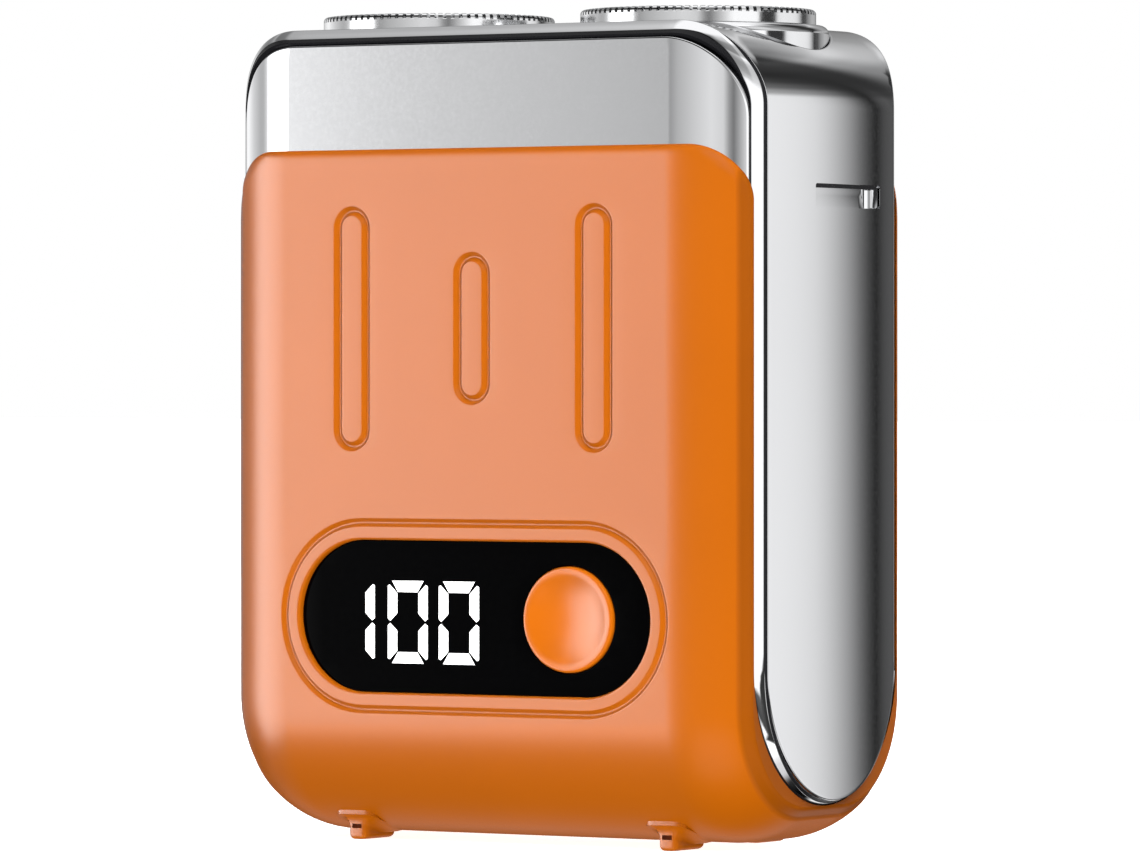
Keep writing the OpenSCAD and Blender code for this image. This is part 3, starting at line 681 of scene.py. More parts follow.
def cover_surface():
    """The unrolled cover as a flat triangulation, finer along edges and grooves."""
    edges = (0, 0.05, 0.12, 0.22, 0.35, 0.5, 0.7, 0.85, 1.0, 1.15, 1.3, 1.45, 1.6, 1.8, 2.0)
    outer, *lines = [sheet_loop(COVER_W, COVER_S, COVER_CORNER, e, 24, 0.5) for e in edges]
    window_v = COVER_TOP - DISPLAY_Z
    holes = [window_loop(window_v), stadium_loop((0, COVER_S / 2), *PORT_HALF)]
    for e in (0.04, 0.1, 0.18, 0.3, 1.2, 1.33, 1.46, 1.58, 1.7, 1.82, 1.94, 2.07, 2.2):
        lines.append(window_loop(window_v, e))
    for e in (0.06, 0.16, 0.3):
        lines.append(stadium_loop((0, COVER_S / 2), PORT_HALF[0] + e, PORT_HALF[1] + e))
    for x, low, high in LOOPS:
        half = (high - low) / 2
        down_front = COVER_TOP - low - half
        for e in (0.55, 0.42, 0.28, 0.14, 0, -0.14, -0.28, -0.42, -0.55):
            for s in (down_front, COVER_S - down_front):
                lines.append(stadium_loop((x, s), half - GROOVE + e, LOOP_HALF - GROOVE + e, True, 20))
    flat = COVER_TOP - BELLY_Z
    bend = BELLY_R * math.pi / 2
    edge = spread(FLAT_X, (COVER_W - 2.4, 0.45))
    xs = np.unique(np.r_[-edge, spread(-FLAT_X, (FLAT_X, 2.0)), edge])
    down = spread(0.0, (flat, 2.0), (flat + bend, 0.8), (COVER_S / 2, 1.6))
    ss = np.unique(np.r_[down, COVER_S - down])
    return triangulate(outer, holes, lines, grid(xs, ss))


def belly_height(y):
    """Height of the cover's underside at a distance from the middle."""
    over = np.maximum(np.abs(y) - BELLY_Y, 0)
    return BELLY_Z - np.sqrt(np.maximum(BELLY_R ** 2 - over ** 2, 0))


def lug(x, side):
    """One foot, a small rounded block flaring into the underside, and a dark block painted as the shadow in
    its slot.
    """
    middle, reach = (LUG_Y[0] + LUG_Y[1]) / 2, (LUG_Y[1] - LUG_Y[0]) / 2
    turns = np.linspace(0, 2 * math.pi, 72, endpoint=False)
    across, along = (np.sign(w) * np.abs(w) ** 0.32 for w in (np.cos(turns), np.sin(turns)))

    def loop_at(grow):
        return np.c_[
            (LUG_HALF + grow) * across,
            middle - grow * 0.25 + (reach + grow * 0.75) * along,
        ]

    rings = []
    for turn in np.linspace(0, math.pi / 2, 7):
        loop = loop_at(-LUG_ROUND * (1 - math.sin(turn)))
        rings.append(np.c_[loop, np.full(len(loop), LUG_ROUND * (1 - math.cos(turn)))])
    body = belly_height(loop_at(0)[:, 1])
    flare = np.minimum(LUG_FLARE, body * 0.6)
    for turn in np.linspace(0, math.pi / 2, 9):
        height = np.maximum(body - flare * (1 - math.sin(turn)), LUG_ROUND + 0.01)
        rings.append(np.c_[loop_at(LUG_FLARE * (1 - math.cos(turn))), height])
    last = rings[-1].copy()
    last[:, 2] = belly_height(last[:, 1]) + 0.25
    rings.append(last)
    block = swept(rings, closed=False, cap=True)
    # Painted shadow: a closed dark block at the foot's front, standing in for the shade inside the slot.
    w, z0, z1, deep = LUG_SLOT_SHADOW
    front = LUG_Y[1] + 0.02
    slot = swept([
        [(-w, y, z0), (w, y, z0), (w, y, z1), (-w, y, z1)] for y in (front, front - deep)
    ], closed=False, cap=True)
    return [
        (p * [1, side, 1] + [x, 0, 0], f if side > 0 else [t[::-1] for t in f])
        for p, f in (block, slot)
    ]


def build_cover():
    skin = thick_skin(*cover_surface(), cover_top, cover_bottom)
    add_piece("orange_cover", skin, "casing", "orange_cover", "wrap_cover")
    blocks, slot_shadows = zip(*[lug(x, side) for x in (-LUG_X, LUG_X) for side in (-1, 1)])
    add_piece("feet", joined(*blocks), "casing", "orange_cover", sharp=50)
    # Painted shadow: the dark blocks in the slot of each foot.
    add_piece("feet_slot_shadows", joined(*slot_shadows), "casing", "orange_cover", sharp=30, look="slot_shadow")


# ---- front and rear shells ----

SHELL_TOP = FACE_TOP - 0.3
SHELL_CORNER = 7.9
SHELL_T = 1.3
SHELL_S = SHELL_TOP - BELLY_Z + BELLY_R * 0.8


def shell_top(q):
    over = np.maximum(np.abs(q[:, 0]) - (FACE_W - SHELL_CORNER), 0)
    up = SHELL_CORNER - q[:, 1]
    corner = SHELL_CORNER - np.hypot(over, np.maximum(up, 0))
    e = np.where(up > 0, corner, FACE_W - np.abs(q[:, 0]))
    return on_path(q, edge_depth(q[:, 0], COVER_T) + fillet(e, 0.22), SHELL_TOP)


def shell_bottom(q):
    return on_path(q, edge_depth(q[:, 0], COVER_T) + SHELL_T, SHELL_TOP)


def build_shells():
    insets = (0, 0.03, 0.08, 0.14, 0.22, 0.5)
    outer, *lines = [sheet_loop(FACE_W, SHELL_S, SHELL_CORNER, e, 28, 1.0) for e in insets]
    edge = spread(FLAT_X, (FACE_W, 0.4))
    xs = np.unique(np.r_[-edge, spread(-FLAT_X, (FLAT_X, 2.2)), edge])
    ss = spread(0.0, (SHELL_TOP - BELLY_Z, 1.5), (SHELL_S, 1.2))
    for name, side, holes in (
        ("front_shell", 1, [window_loop(SHELL_TOP - DISPLAY_Z)]),
        ("rear_shell", -1, []),
    ):
        flip = np.array([1, side, 1])
        skin = thick_skin(
            *triangulate(outer, holes, lines, grid(xs, ss)),
            lambda p, flip=flip: shell_top(p) * flip, lambda p, flip=flip: shell_bottom(p) * flip,
        )
        add_piece("polished_" + name, skin, "casing", "polished_shell", name)


# ---- the polished frame ----

TOP_X = SIDE_X - TOP_R
TOP_Z = BODY_TOP - TOP_R
ARC = TOP_R * math.pi / 2
U_SIDE = TOP_X + ARC
FRAME_END = U_SIDE + TOP_Z - SLOT_Z
END_TURN = np.linspace(-math.pi / 2, math.pi / 2, 49)[1:-1]


def outline_at(u):
    """X, Z and the outward direction on the frame's outline; u is 0 at the top's middle."""
    a = np.abs(u)
    turn = np.clip((a - TOP_X) / TOP_R, 0, math.pi / 2)
    down = np.maximum(a - U_SIDE, 0)
    x = np.minimum(a, TOP_X) + TOP_R * np.sin(turn)
    z = TOP_Z + TOP_R * np.cos(turn) - down
    side = np.where(u < 0, -1.0, 1.0)
    return x * side, z, np.sin(turn) * side, np.cos(turn)


def half_depth(u):
    """Half the frame's depth, between its two bevels."""
    x, _, nx, nz = outline_at(u)
    over = np.maximum(np.abs(x) - FLAT_X, 0)
    core = HALF_D - EDGE_R + np.sqrt(np.maximum((EDGE_R - COVER_T) ** 2 - over ** 2, 0.01))
    return core - (HALF_D - COVER_T - TOP_Y) * nz ** 2 - SIDE_SINK * nx ** 2


def u_of_x(x):
    """Where on the outline the top is at x."""
    over = np.clip((np.abs(x) - TOP_X) / TOP_R, 0, 1)
    return np.sign(x) * (np.minimum(np.abs(x), TOP_X) + TOP_R * np.arcsin(over))


def frame_distance(q):
    """Distance inwards from the edge of the frame's outer face."""
    u, y = q[:, 0], np.abs(q[:, 1])
    _, z, _, _ = outline_at(u)
    straight = half_depth(u) - y
    r = np.hypot(y / SIDE_Y, (SLOT_Z - z) / SIDE_END)
    return np.where(z < SLOT_Z, (1 - r) * SIDE_Y, straight)


def deck_gap(q):
    """Distance outwards from the deck's opening."""
    x, _, _, _ = outline_at(q[:, 0])
    opening = DECK_R + DECK_GAP
    return stadium_distance(np.c_[x, q[:, 1]], (0, 0), HEAD_X + opening, opening)


def frame_top(q):
    x, z, nx, nz = outline_at(q[:, 0])
    crown = CROWN * np.maximum(1 - (q[:, 1] / SIDE_Y) ** 2, 0) * (1 - nz ** 2)
    depth = fillet(frame_distance(q), 0.14)
    depth = depth + fillet(deck_gap(q), 0.16)
    out = crown - depth
    return np.c_[x + nx * out, q[:, 1], z + nz * out]


def frame_bottom(q):
    x, z, nx, nz = outline_at(q[:, 0])
    inner = np.c_[x - nx * FRAME_WALL, q[:, 1], z - nz * FRAME_WALL]
    at_deck = np.c_[x, q[:, 1], np.full(len(q), DECK_LOW[2] - 0.4)]
    near = (np.abs(deck_gap(q)) < 0.05)[:, None]
    return np.where(near, at_deck, inner)


def frame_stops(fine):
    """Places along the outline from one side face's end to the other's, with fine steps on the corners."""
    return spread(
        -FRAME_END, (-U_SIDE, 1.5), (-TOP_X, fine), (TOP_X, 1.5), (U_SIDE, fine), (FRAME_END, 1.5)
    )


def frame_loop(inset):
    """The edge of the frame's outer face, set in."""
    us = frame_stops(0.35)
    front = np.c_[us, -(half_depth(us) - inset)]
    across, along = (SIDE_END - inset) * np.cos(END_TURN), (SIDE_Y - inset) * np.sin(END_TURN)
    right = np.c_[FRAME_END + across, along]
    return np.vstack([front, right, -front, -right])


def bevel_rings():
    """The bright bevel round the frame and the seams beside it, as rings of cross-sections; the seams' dark
    strips are painted shadow.
    """
    us = frame_stops(0.3)
    x, z, nx, nz = outline_at(us)
    inner_r = TOP_R - 1.0
    ax = np.where(np.abs(us) < TOP_X, x, np.sign(x) * (TOP_X + inner_r * np.abs(nx)))
    az = np.where(np.abs(us) > U_SIDE, z, TOP_Z - 0.3 + inner_r * nz)
    over = np.maximum(np.abs(ax) - FLAT_X, 0)
    core = HALF_D - EDGE_R + np.sqrt((EDGE_R - COVER_T) ** 2 - over ** 2)
    a_front = np.c_[ax, -core, az]
    b_front = np.c_[x, -half_depth(us), z]
    c, s, count = np.cos(END_TURN), np.sin(END_TURN), len(END_TURN)
    end_a = np.c_[np.full(count, SIDE_X - 0.75), core[-1] * s, SLOT_Z - SLOT_R * c]
    end_b = np.c_[np.full(count, SIDE_X), SIDE_Y * s, SLOT_Z - SIDE_END * c]
    back = np.array([-1, -1, 1])
    a = np.vstack([a_front, end_a, a_front * back, end_a * back])
    b = np.vstack([b_front, end_b, b_front * back, end_b * back])
    tangent = unit(np.roll(a + b, -1, axis=0) - np.roll(a + b, 1, axis=0))
    out = unit(np.cross(b - a, tangent))
    middle = (a + b) / 2 - [0, 0, 40]
    out *= np.sign((out * middle).sum(axis=1))[:, None]
    share = np.clip((np.abs(us) - TOP_X) / ARC, 0, 1)
    low = np.interp(share, [0, 0.25, 0.45, 0.75], [0.26, 0.4, 0.34, 0.02])
    high = np.interp(share, [0.35, 0.6], [0.98, 0.8])
    degrees, marks = np.degrees(END_TURN), [-90, -72, -45, -15, 0]
    low_end = np.interp(degrees, marks, [0.02, 0.12, 0.2, 0.35, 0.5])
    high_end = np.interp(degrees, marks, [0.8, 0.78, 0.78, 0.62, 0.52])
    low = np.r_[low, low_end, low, low_end][:, None]
    high = np.r_[high, high_end, high, high_end][:, None]

    def band(start, stop, rise):
        """A strip of the bevel between two shares of its width, as a closed ring."""
        lip = (stop - start) * 0.06
        section = (
            (start, -1.2), (start, rise - 0.02), (start + lip, rise),
            (stop - lip, rise), (stop, rise - 0.02), (stop, -0.9),
        )
        return np.swapaxes(np.array([a + (b - a) * t + out * h for t, h in section]), 0, 1)

    return band(low, high, 0.03), band(low * 0, low, -0.03), band(high, high * 0 + 1.01, -0.03)


def ledge():
    """The seat that the deck rests on, inside the frame's opening."""
    rings = []
    for r, z in ((12.15, 74.2), (12.15, 76.2), (13.7, 76.2), (13.7, 74.2)):
        loop = head_loop(r, 36, 1.2)
        rings.append(np.c_[loop, np.full(len(loop), z)])
    return swept(np.swapaxes(np.array(rings), 0, 1))


def side_face(y):
    """How far out the crowned side face is."""
    return SIDE_X + CROWN * (1 - (y / SIDE_Y) ** 2)


def notch():
    """The nail notch: a shallow flat that ends in a deep, round-ended scoop at the back."""
    y0, y1 = NOTCH_Y
    z0, z1 = NOTCH_Z
    drop, wall = y1 - 3.6, y1 - 1.2
    rings = []
    for y in spread(y0, (drop, 0.8), (wall, 0.2), (y1, 0.1)):
        outer = side_face(y)
        flat = 0.16 + 0.1 * (y - y0) / (y1 - y0)
        deep = np.interp(y, [y0, drop, drop + 1.4, wall], [flat, flat, 1.5, 1.6])
        if y > wall:
            deep = 0.25 + 1.35 * math.sqrt(max(1 - ((y - wall) / (y1 - wall)) ** 2, 0))
        shallow = max(deep * np.interp(y, [drop, drop + 1.0], [0.0, 1.0]), 0.02)
        rings.append([
            (outer - 0.02, y, z0), (outer - shallow, y, z0 + 0.12),
            (outer - deep * 0.5 - shallow * 0.5, y, (z0 + z1) / 2),
            (outer - deep, y, z1 - 0.32), (outer - deep * 0.8, y, z1 - 0.2), (outer - 0.02, y, z1),
        ])
    rings = np.array(rings)
    n, m = rings.shape[:2]
    points = rings.reshape(-1, 3)
    faces = [
        (i * m + k, i * m + k + 1, (i + 1) * m + k + 1, (i + 1) * m + k)
        for i in range(n - 1) for k in range(m - 1)
    ]
    faces.append(tuple(range(m))[::-1])
    faces.append(tuple((n - 1) * m + k for k in range(m)))
    return points, faces


def notch_slit_shadow():
    """A dark piece painted as the shadow in the slit along the top of the nail notch."""
    rings = []
    for y in spread(NOTCH_Y[0], (NOTCH_Y[1] - 0.6, 0.8)):
        outer = side_face(y)
        rings.append([
            (outer - d, y, NOTCH_Z[1] - h) for d, h in ((0.03, 0.0), (0.03, 0.42), (0.5, 0.42), (0.5, 0.0))
        ])
    return swept(rings, closed=False, cap=True)


def build_frame():
    def opening(e):
        loop = head_loop(DECK_R + DECK_GAP + e)
        return np.c_[u_of_x(loop[:, 0]), loop[:, 1]]

    outer, *lines = [frame_loop(e) for e in (0, 0.03, 0.08, 0.14, 0.4, 0.8)]
    lines += [opening(e) for e in (0.03, 0.08, 0.16, 0.4, 0.8)]
    notch_us = [U_SIDE + TOP_Z - z for z in NOTCH_Z]
    slot = box_loop((notch_us[1], NOTCH_Y[0]), (notch_us[0], NOTCH_Y[1]), 0.25, 4, 1.0)
    side = spread(TOP_X, (U_SIDE, 0.5), (FRAME_END + SIDE_END, 1.5))
    us = np.unique(np.r_[-side, spread(-TOP_X, (TOP_X, 1.5)), side])
    seeds = grid(us, np.linspace(-16, 16, 33))
    skin = thick_skin(*triangulate(outer, [opening(0), slot], lines, seeds), frame_top, frame_bottom)
    bright, inner_seam, outer_seam = map(swept, bevel_rings())
    on = ("casing", "polished_casing")
    add_piece("polished_frame", skin, *on, "chrome_frame")
    add_piece("frame_bevel", bright, *on, sharp=20)
    # Painted shadow: near-black strips laid in the seams on both sides of the bright bevel.
    add_piece("bevel_seam_shadows", joined(inner_seam, outer_seam), *on, sharp=20, look="seam_shadow")
    add_piece("deck_ledge", ledge(), *on, sharp=35)
    # Painted shadow: a dark piece in the slit along the top of the nail notch.
    add_piece("notch_slit_shadow", notch_slit_shadow(), *on, sharp=30, look="seam_shadow")
    add_piece("nail_notch", notch(), *on, sharp=30)


# ---- the shaving deck ----

def build_deck():
    centres = ((-HEAD_X, 0), (HEAD_X, 0))
    bore = FOIL_R + DECK_GAP

    def top(q):
        e = -stadium_distance(q, (0, 0), HEAD_X + DECK_R, DECK_R)
        depth = fillet(e, DECK_EDGE)
        for c in centres:
            depth = depth + fillet(np.hypot(*(q - c).T) - bore, 0.2)
        return np.c_[q, DECK_TOP - depth]

    def bottom(q):
        return np.c_[q, np.full(len(q), DECK_LOW[2])]

    outer, *lines = [head_loop(DECK_R - e) for e in (0, 0.03, 0.1, 0.22, 0.4, 0.62, DECK_EDGE)]
    lines += [circle_loop(c, bore + e) for c in centres for e in (0.05, 0.12, 0.2)]
    holes = [circle_loop(c, bore) for c in centres]
    seeds = grid(np.linspace(-28, 28, 29), np.linspace(-12, 12, 13))
    skin = thick_skin(*triangulate(outer, holes, lines, seeds), top, bottom)
    add_piece("polished_deck", skin, "deck", "polished_deck", "head_deck")


# ---- foils ----

BAR_T = 0.3


def comb(count, width, profile):
    """Thin bars round an axis: each follows the (radius, height) profile and is one closed strip."""
    parts = []
    profile = np.asarray(profile, float)
    run = unit(np.gradient(profile, axis=0))
    inner = profile + BAR_T * np.c_[-run[:, 1], run[:, 0]]
    for i in range(count):
        a = 2 * math.pi * i / count
        c, s = math.cos(a), math.sin(a)
        rings = []
        for (r, z), (r2, z2) in zip(profile, inner):
            rings.append([
                (r * c - w * s, r * s + w * c, h)
                for w, r, h in (
                    (-width / 2, r, z), (width / 2, r, z), (width / 2, r2, z2), (-width / 2, r2, z2)
                )
            ])
        parts.append(swept(rings, closed=False, cap=True))
    return parts


def foil_parts():
    """A foil round its own axis: wall with flange, two rings of bars, and the rings that hold them."""
    top, low = FOIL_TOP, FOIL_LOW[2]
    wall = lathe([
        (FOIL_R - 0.04, top - 0.52), (FOIL_R, top - 0.58), (FOIL_R, low + 0.7),
        (FOIL_R + 0.4, low + 0.6), (FOIL_R + 0.4, low + 0.04), (FOIL_R - 0.5, low + 0.04),
        (FOIL_R - 0.5, top - 0.52),
    ], 128)
    corner = [(FOIL_R - 0.01, top - 0.8)]
    for a in np.linspace(0, math.pi / 2, 6):
        corner.append((FOIL_R - 0.4 + 0.4 * math.cos(a), top - 0.4 + 0.4 * math.sin(a)))
    corner += [(9.6, top), (8.4, top), (8.15, top - 0.12)]
    outer_bars = comb(FOIL_SLOTS, 0.44, corner)
    ring = lathe([
        (8.5, top), (7.6, top), (7.45, top - 0.1), (7.45, top - 0.4), (8.65, top - 0.4), (8.65, top - 0.1),
    ])
    inner = [(7.7, top - 0.05), (7.4, top), (5.6, top), (5.3, top - 0.1)]
    inner_bars = comb(FOIL_SLOTS * 2 // 3, 0.36, inner)
    hub = lathe([
        (5.5, top), (5.0, top), (4.75, top - 0.12), (4.6, top - 0.45), (5.6, top - 0.45), (5.65, top - 0.1),
    ])
    return joined(wall, *outer_bars, ring, *inner_bars, hub)


def build_foils():
    points, faces = foil_parts()
    cap = lathe([
        (0.001, FOIL_TOP - 0.30), (2.2, FOIL_TOP - 0.28), (2.5, FOIL_TOP - 0.12), (4.1, FOIL_TOP - 0.1),
        (4.62, FOIL_TOP - 0.3), (4.62, FOIL_TOP - 0.45), (0.001, FOIL_TOP - 0.5),
    ])
    for name, x in (("left", -HEAD_X), ("right", HEAD_X)):
        body = "foil_body_" + name
        foil, disc = (points + [x, 0, 0], faces), (cap[0] + [x, 0, 0], cap[1])
        add_piece("slotted_foil_" + name, foil, body, "foil_steel", "foil_" + name, sharp=22)
        add_piece("foil_disc_" + name, disc, body, "foil_cap_steel", "foil_cap_" + name, sharp=40)


# ---- display and button ----

def build_window():
    centre = np.array([0, DISPLAY_Z])
    button = np.array([BUTTON_X, DISPLAY_Z])
    inset = 0.03
    bore = BUTTON_R + BUTTON_GAP

    def lens_front(q):
        e = -stadium_distance(q, centre, WINDOW_W - inset, WINDOW_H - inset)
        hole = np.hypot(*(q - button).T) - bore
        depth = fillet(e, 0.1) + fillet(hole, 0.12)
        return np.c_[q[:, 0], LENS_Y + depth, q[:, 1]]

    def lens_back(q):
        return np.c_[q[:, 0], np.full(len(q), WINDOW_HIGH[1]), q[:, 1]]

    outer, *lines = [window_loop(DISPLAY_Z, -inset - e, 48) for e in (0, 0.03, 0.1)]
    lines += [circle_loop(button, bore + e, 96) for e in (0.04, 0.12)]
    seeds = grid(np.linspace(-18, 18, 19), np.linspace(16, 29, 8))
    skin = triangulate(outer, [circle_loop(button, bore, 96)], lines, seeds)
    add_piece(
        "window_lens", thick_skin(*skin, lens_front, lens_back), "casing", "black_window", "display_window"
    )


def digit_bars(left, bottom, width, height, only=None):
    """The six lit bars of a nought with mitred ends, or some of them."""
    t, gap, cut = 1.1, 0.11, 0.38
    right, top, middle = left + width, bottom + height, bottom + height / 2

    def mirror_x(p):
        return np.c_[left + right - p[:, 0], p[:, 1]][::-1]

    def mirror_z(p):
        return np.c_[p[:, 0], bottom + top - p[:, 1]][::-1]

    up = np.array([
        (left + cut + gap, top), (right - cut - gap, top),
        (right - t - gap, top - t), (left + t + gap, top - t),
    ])
    side = np.array([
        (right, top - cut - gap), (right, middle + 0.35), (right - 0.3, middle + gap),
        (right - t, middle + 0.85), (right - t, top - t - gap),
        (right - cut * 0.6, top - cut * 0.6 - gap * 1.4),
    ])
    shapes = [side, mirror_z(side), up, mirror_z(up), mirror_x(side), mirror_x(mirror_z(side))]
    solids = []
    for shape in shapes[:only]:
        rings = [
            np.c_[shape[:, 0], np.full(len(shape), y), shape[:, 1]] for y in (LENS_Y + 0.1, LENS_Y - 0.02)
        ]
        solids.append(swept(rings, closed=False, cap=True))
    return solids


def build_digits():
    left, right, bottom = DIGITS_LOW[0], DIGITS_HIGH[0], DIGITS_LOW[2]
    height = DIGITS_HIGH[2] - bottom
    width, pitch = 4.7, 6.0
    bars = digit_bars(right - width, bottom, width, height)
    bars += digit_bars(right - width - pitch, bottom, width, height)
    bars += digit_bars(left - width + 1.15, bottom, width, height, 2)
    add_piece("lit_bars", joined(*bars), "casing", "lit_digits", "display_digits", sharp=20)


def build_button():
    """The push button: a flange, a rounded rim and a dish."""
    front, back = BUTTON_LOW[1], BUTTON_HIGH[1]
    dish_r, dish_deep, rim_r, flange = 4.6, 1.15, 0.32, BUTTON_R + 0.65
    profile = [(0.001, back - 1.7), (flange, back - 1.7), (flange, back - 2.3), (BUTTON_R, back - 2.35)]
    for a in np.linspace(0, math.pi / 2, 8):
        profile.append((BUTTON_R - rim_r + rim_r * math.cos(a), front + rim_r - rim_r * math.sin(a)))
    for t in np.linspace(0, 1, 20)[1:]:
        radius = dish_r * (1 - t) + 0.001
        profile.append((radius, front + dish_deep * (1 - (radius / dish_r) ** 2)))
    points, faces = lathe(profile, 128)
    points = np.c_[points[:, 0], points[:, 2], -points[:, 1]] + [BUTTON_X, 0, DISPLAY_Z]
    add_piece("dished_button", (points, faces), "button", "orange_button", "power_button", sharp=50)


# ---- the rest of the frame ----

def dress_cad_nodes():
    """Gives every CAD node the material of its slot."""
    for row in frame["record"]["subparts"]:
        node = frame["nodes"][row["node"]]
        node.data.materials.clear()
        node.data.materials.append(MATERIALS[row["material_slot"]])


# ---- camera and light ----

VIEW_ANGLE = math.radians(32.5)
CAMERA_AWAY = 770.4
CAMERA_UP = 46.2
LENS = 244.7
SHIFT = (0.0023, -0.046)


def build_camera():
    data = bpy.data.cameras.new("camera")
    data.lens = LENS
    data.sensor_width = 36.0
    data.shift_x, data.shift_y = SHIFT
    data.clip_start = 0.05
    data.clip_end = 50.0
    camera = bpy.data.objects.new("camera", data)
    bpy.context.scene.collection.objects.link(camera)
    camera.location = Vector((
        CAMERA_AWAY * math.sin(VIEW_ANGLE), -CAMERA_AWAY * math.cos(VIEW_ANGLE), CAMERA_UP,
    )) * MM
    camera.rotation_euler = (math.pi / 2, 0, VIEW_ANGLE)
    bpy.context.scene.camera = camera


# Brightness of the studio round the object at its own height, by compass angle: 0 is straight
# ahead of the front, 90 the right side. Soft boxes, a pale room and dark flags.
STUDIO = (
    (-180, 0.5), (-168, 0.45), (-158, 0.2), (-146, 0.2), (-130, 0.75), (-112, 1.1), (-95, 0.72),
    (-80, 0.5), (-74, 0.5), (-68, 0.75), (-62, 2.5), (-37, 2.5), (-35.2, 1.1), (-34.2, 0.72),
    (-33.4, 0.66), (-31, 0.44), (-29, 0.36), (-20, 0.5), (0, 0.68), (18, 0.83), (31, 0.74), (37, 0.36),
    (42, 0.2), (49, 0.45), (58, 0.8), (66, 1.2), (92.5, 1.2), (95, 0.04), (112, 0.04), (116, 0.95),
    (125, 0.98), (140, 0.92), (143, 0.88), (146, 0.8), (148.2, 0.66), (151.7, 0.33), (153.4, 0.16),
    (155.2, 0.04), (156.2, 0.015), (157, 0.03), (158, 0.12), (161, 0.06), (168, 0.3), (180, 0.5),
)
# The same for the slopes above and below: dark towards the front, pale elsewhere.
SLOPES = (
    (-180, 0.95), (-150, 0.7), (-100, 0.5), (-75, 0.45), (-50, 0.06), (30, 0.05), (58, 0.7), (76, 0.8),
    (82, 1.5), (98, 1.5), (104, 0.8), (120, 0.6), (148, 0.06), (162, 0.08), (170, 0.6), (180, 0.95),
)
# Share of the ring, of the slopes and of the ceiling, by height angle.
HEIGHTS = (
    (-90, 0, 0.04, 0), (-54, 0, 0.04, 0), (-48, 0, 1, 0), (-30, 0, 1, 0), (-24, 0, 0.05, 0),
    (-13, 0.04, 0.05, 0), (-9, 1, 0, 0), (8, 1, 0, 0), (12, 0.4, 0.2, 0), (16, 0.12, 0.35, 0),
    (20, 0.03, 0.4, 0), (24, 0, 0.45, 0), (28, 0, 0.6, 0), (30.5, 0, 0.8, 0), (32.2, 0, 0.5, 0),
    (34, 0, 0.35, 0), (44, 0, 0.4, 0), (53, 0, 0.9, 0), (66, 0, 0, 1), (90, 0, 0, 1),
)
# Brightness of the ceiling.
CEILING = 1.1


def build_world():
    """The studio round the object: white to the camera, soft boxes and flags to everything else."""
    world = bpy.data.worlds.new("studio")
    bpy.context.scene.world = world
    world.use_nodes = True
    tree = world.node_tree
    tree.nodes.clear()

    def calc(operation, *values):
        return put(tree, "Math", dict(enumerate(values)), operation).outputs[0]

    split = put(tree, "SeparateXYZ", {0: put(tree, "TexCoord").outputs["Generated"]})
    angle = calc("ARCTAN2", split.outputs[0], calc("MULTIPLY", split.outputs[1], -1.0))
    round_share = calc("MULTIPLY_ADD", angle, 0.5 / math.pi, 0.5)
    height = calc("ARCSINE", split.outputs[2])
    height_share = calc("MULTIPLY_ADD", height, 1 / math.pi, 0.5)

    def by_angle(stops, curve="LINEAR"):
        return ramp_of(tree, round_share, [((a + 180) / 360, (v, v, v)) for a, v in stops], curve)

    on_left = by_angle([stop for stop in STUDIO if stop[0] <= 0])
    on_right = by_angle([stop for stop in STUDIO if stop[0] >= 0])
    is_right = calc("GREATER_THAN", angle, 0.0)
    at_height = calc("MULTIPLY", on_left, calc("SUBTRACT", 1.0, is_right))
    at_height = calc("MULTIPLY_ADD", on_right, is_right, at_height)
    on_slopes = by_angle(SLOPES, "EASE")
    stops = [((a + 90) / 180, shares) for a, *shares in HEIGHTS]
    shares = put(tree, "SeparateColor", {0: ramp_of(tree, height_share, stops, "EASE")})
    total = calc("MULTIPLY", at_height, shares.outputs[0])
    total = calc("MULTIPLY_ADD", on_slopes, shares.outputs[1], total)
    total = calc("MULTIPLY_ADD", shares.outputs[2], CEILING, total)
    camera_sees = put(tree, "LightPath").outputs["Is Camera Ray"]
    strength = calc("MAXIMUM", total, camera_sees)
    background = put(tree, "Background", {"Color": (1, 1, 1, 1), "Strength": strength})
    put(tree, "OutputWorld", {"Surface": background.outputs[0]})


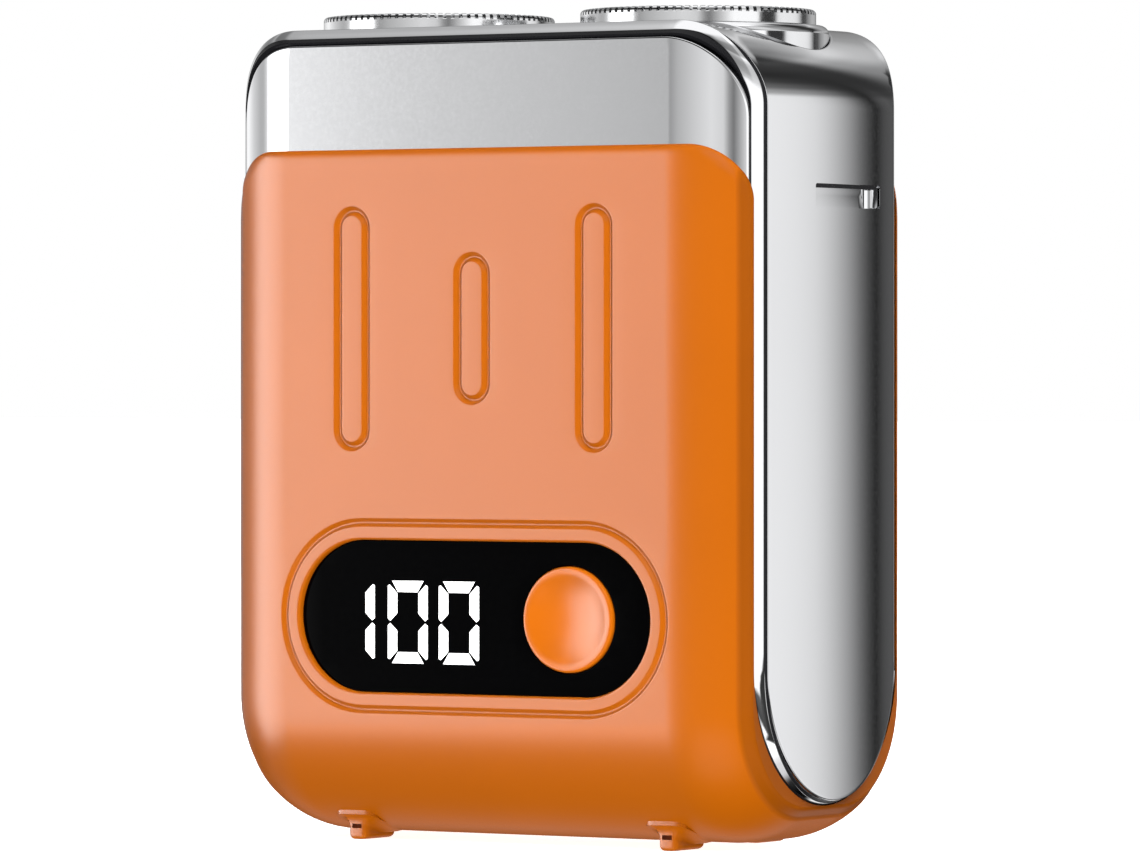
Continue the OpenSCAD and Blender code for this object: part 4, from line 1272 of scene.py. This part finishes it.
def build_floor():
    mesh = bpy.data.meshes.new("floor")
    size = 6.0
    corners = [(x * size, y * size, 0) for x, y in ((-1, -1), (1, -1), (1, 1), (-1, 1))]
    mesh.from_pydata(corners, [], [(0, 1, 2, 3)])
    floor = bpy.data.objects.new("floor", mesh)
    bpy.context.scene.collection.objects.link(floor)
    made, tree, shader, place = material("pale_floor")
    pale = between(tree, noise(tree, place, 4.0), (0.9, 0.9, 0.9), (0.92, 0.92, 0.92))
    fill(tree, shader, {
        "Base Color": pale, "Roughness": 0.9, "Emission Color": (1, 1, 1, 1), "Emission Strength": 0.9,
    })
    mesh.materials.append(made)
    floor.visible_glossy = False
    floor.visible_diffuse = False
    floor.visible_shadow = False


def soft_light(name, angle, up, away, size, watts, shines=False, only=None):
    """A soft box: one that shines gives reflections only, the others light without them."""
    data = bpy.data.lights.new(name, "AREA")
    data.shape = "RECTANGLE"
    data.size, data.size_y = size
    data.energy = watts
    lamp = bpy.data.objects.new(name, data)
    bpy.context.scene.collection.objects.link(lamp)
    a, e = math.radians(angle), math.radians(up)
    spot = Vector((math.sin(a) * math.cos(e), -math.cos(a) * math.cos(e), math.sin(e)))
    lamp.location = spot * away + Vector((0, 0, 0.04))
    lamp.rotation_mode = "QUATERNION"
    lamp.rotation_quaternion = spot.to_track_quat("Z", "Y")
    lamp.visible_glossy = shines
    lamp.visible_diffuse = not shines
    if only:
        group = bpy.data.collections.new(name + "_on")
        for piece in only:
            group.objects.link(bpy.data.objects[piece])
        lamp.light_linking.receiver_collection = group


def build_stage():
    build_world()
    build_floor()
    orange = ("orange_cover", "feet", "dished_button")
    soft_light("sheen_box", -52, 1, 0.9, (0.78, 0.98), 79, True, orange)
    soft_light("right_fill", 48, 42, 0.9, (0.5, 0.5), 10.5)
    soft_light("low_fill", 20, -42, 0.9, (0.6, 0.6), 15.5)
    soft_light("back_fill", 180, 15, 0.9, (0.8, 0.8), 22)
    view = bpy.context.scene.view_settings
    view.view_transform = "Standard"
    view.look = "None"


build_camera()
dress_cad_nodes()
build_cover()
build_shells()
build_frame()
build_deck()
build_foils()
build_window()
build_digits()
build_button()
build_stage()
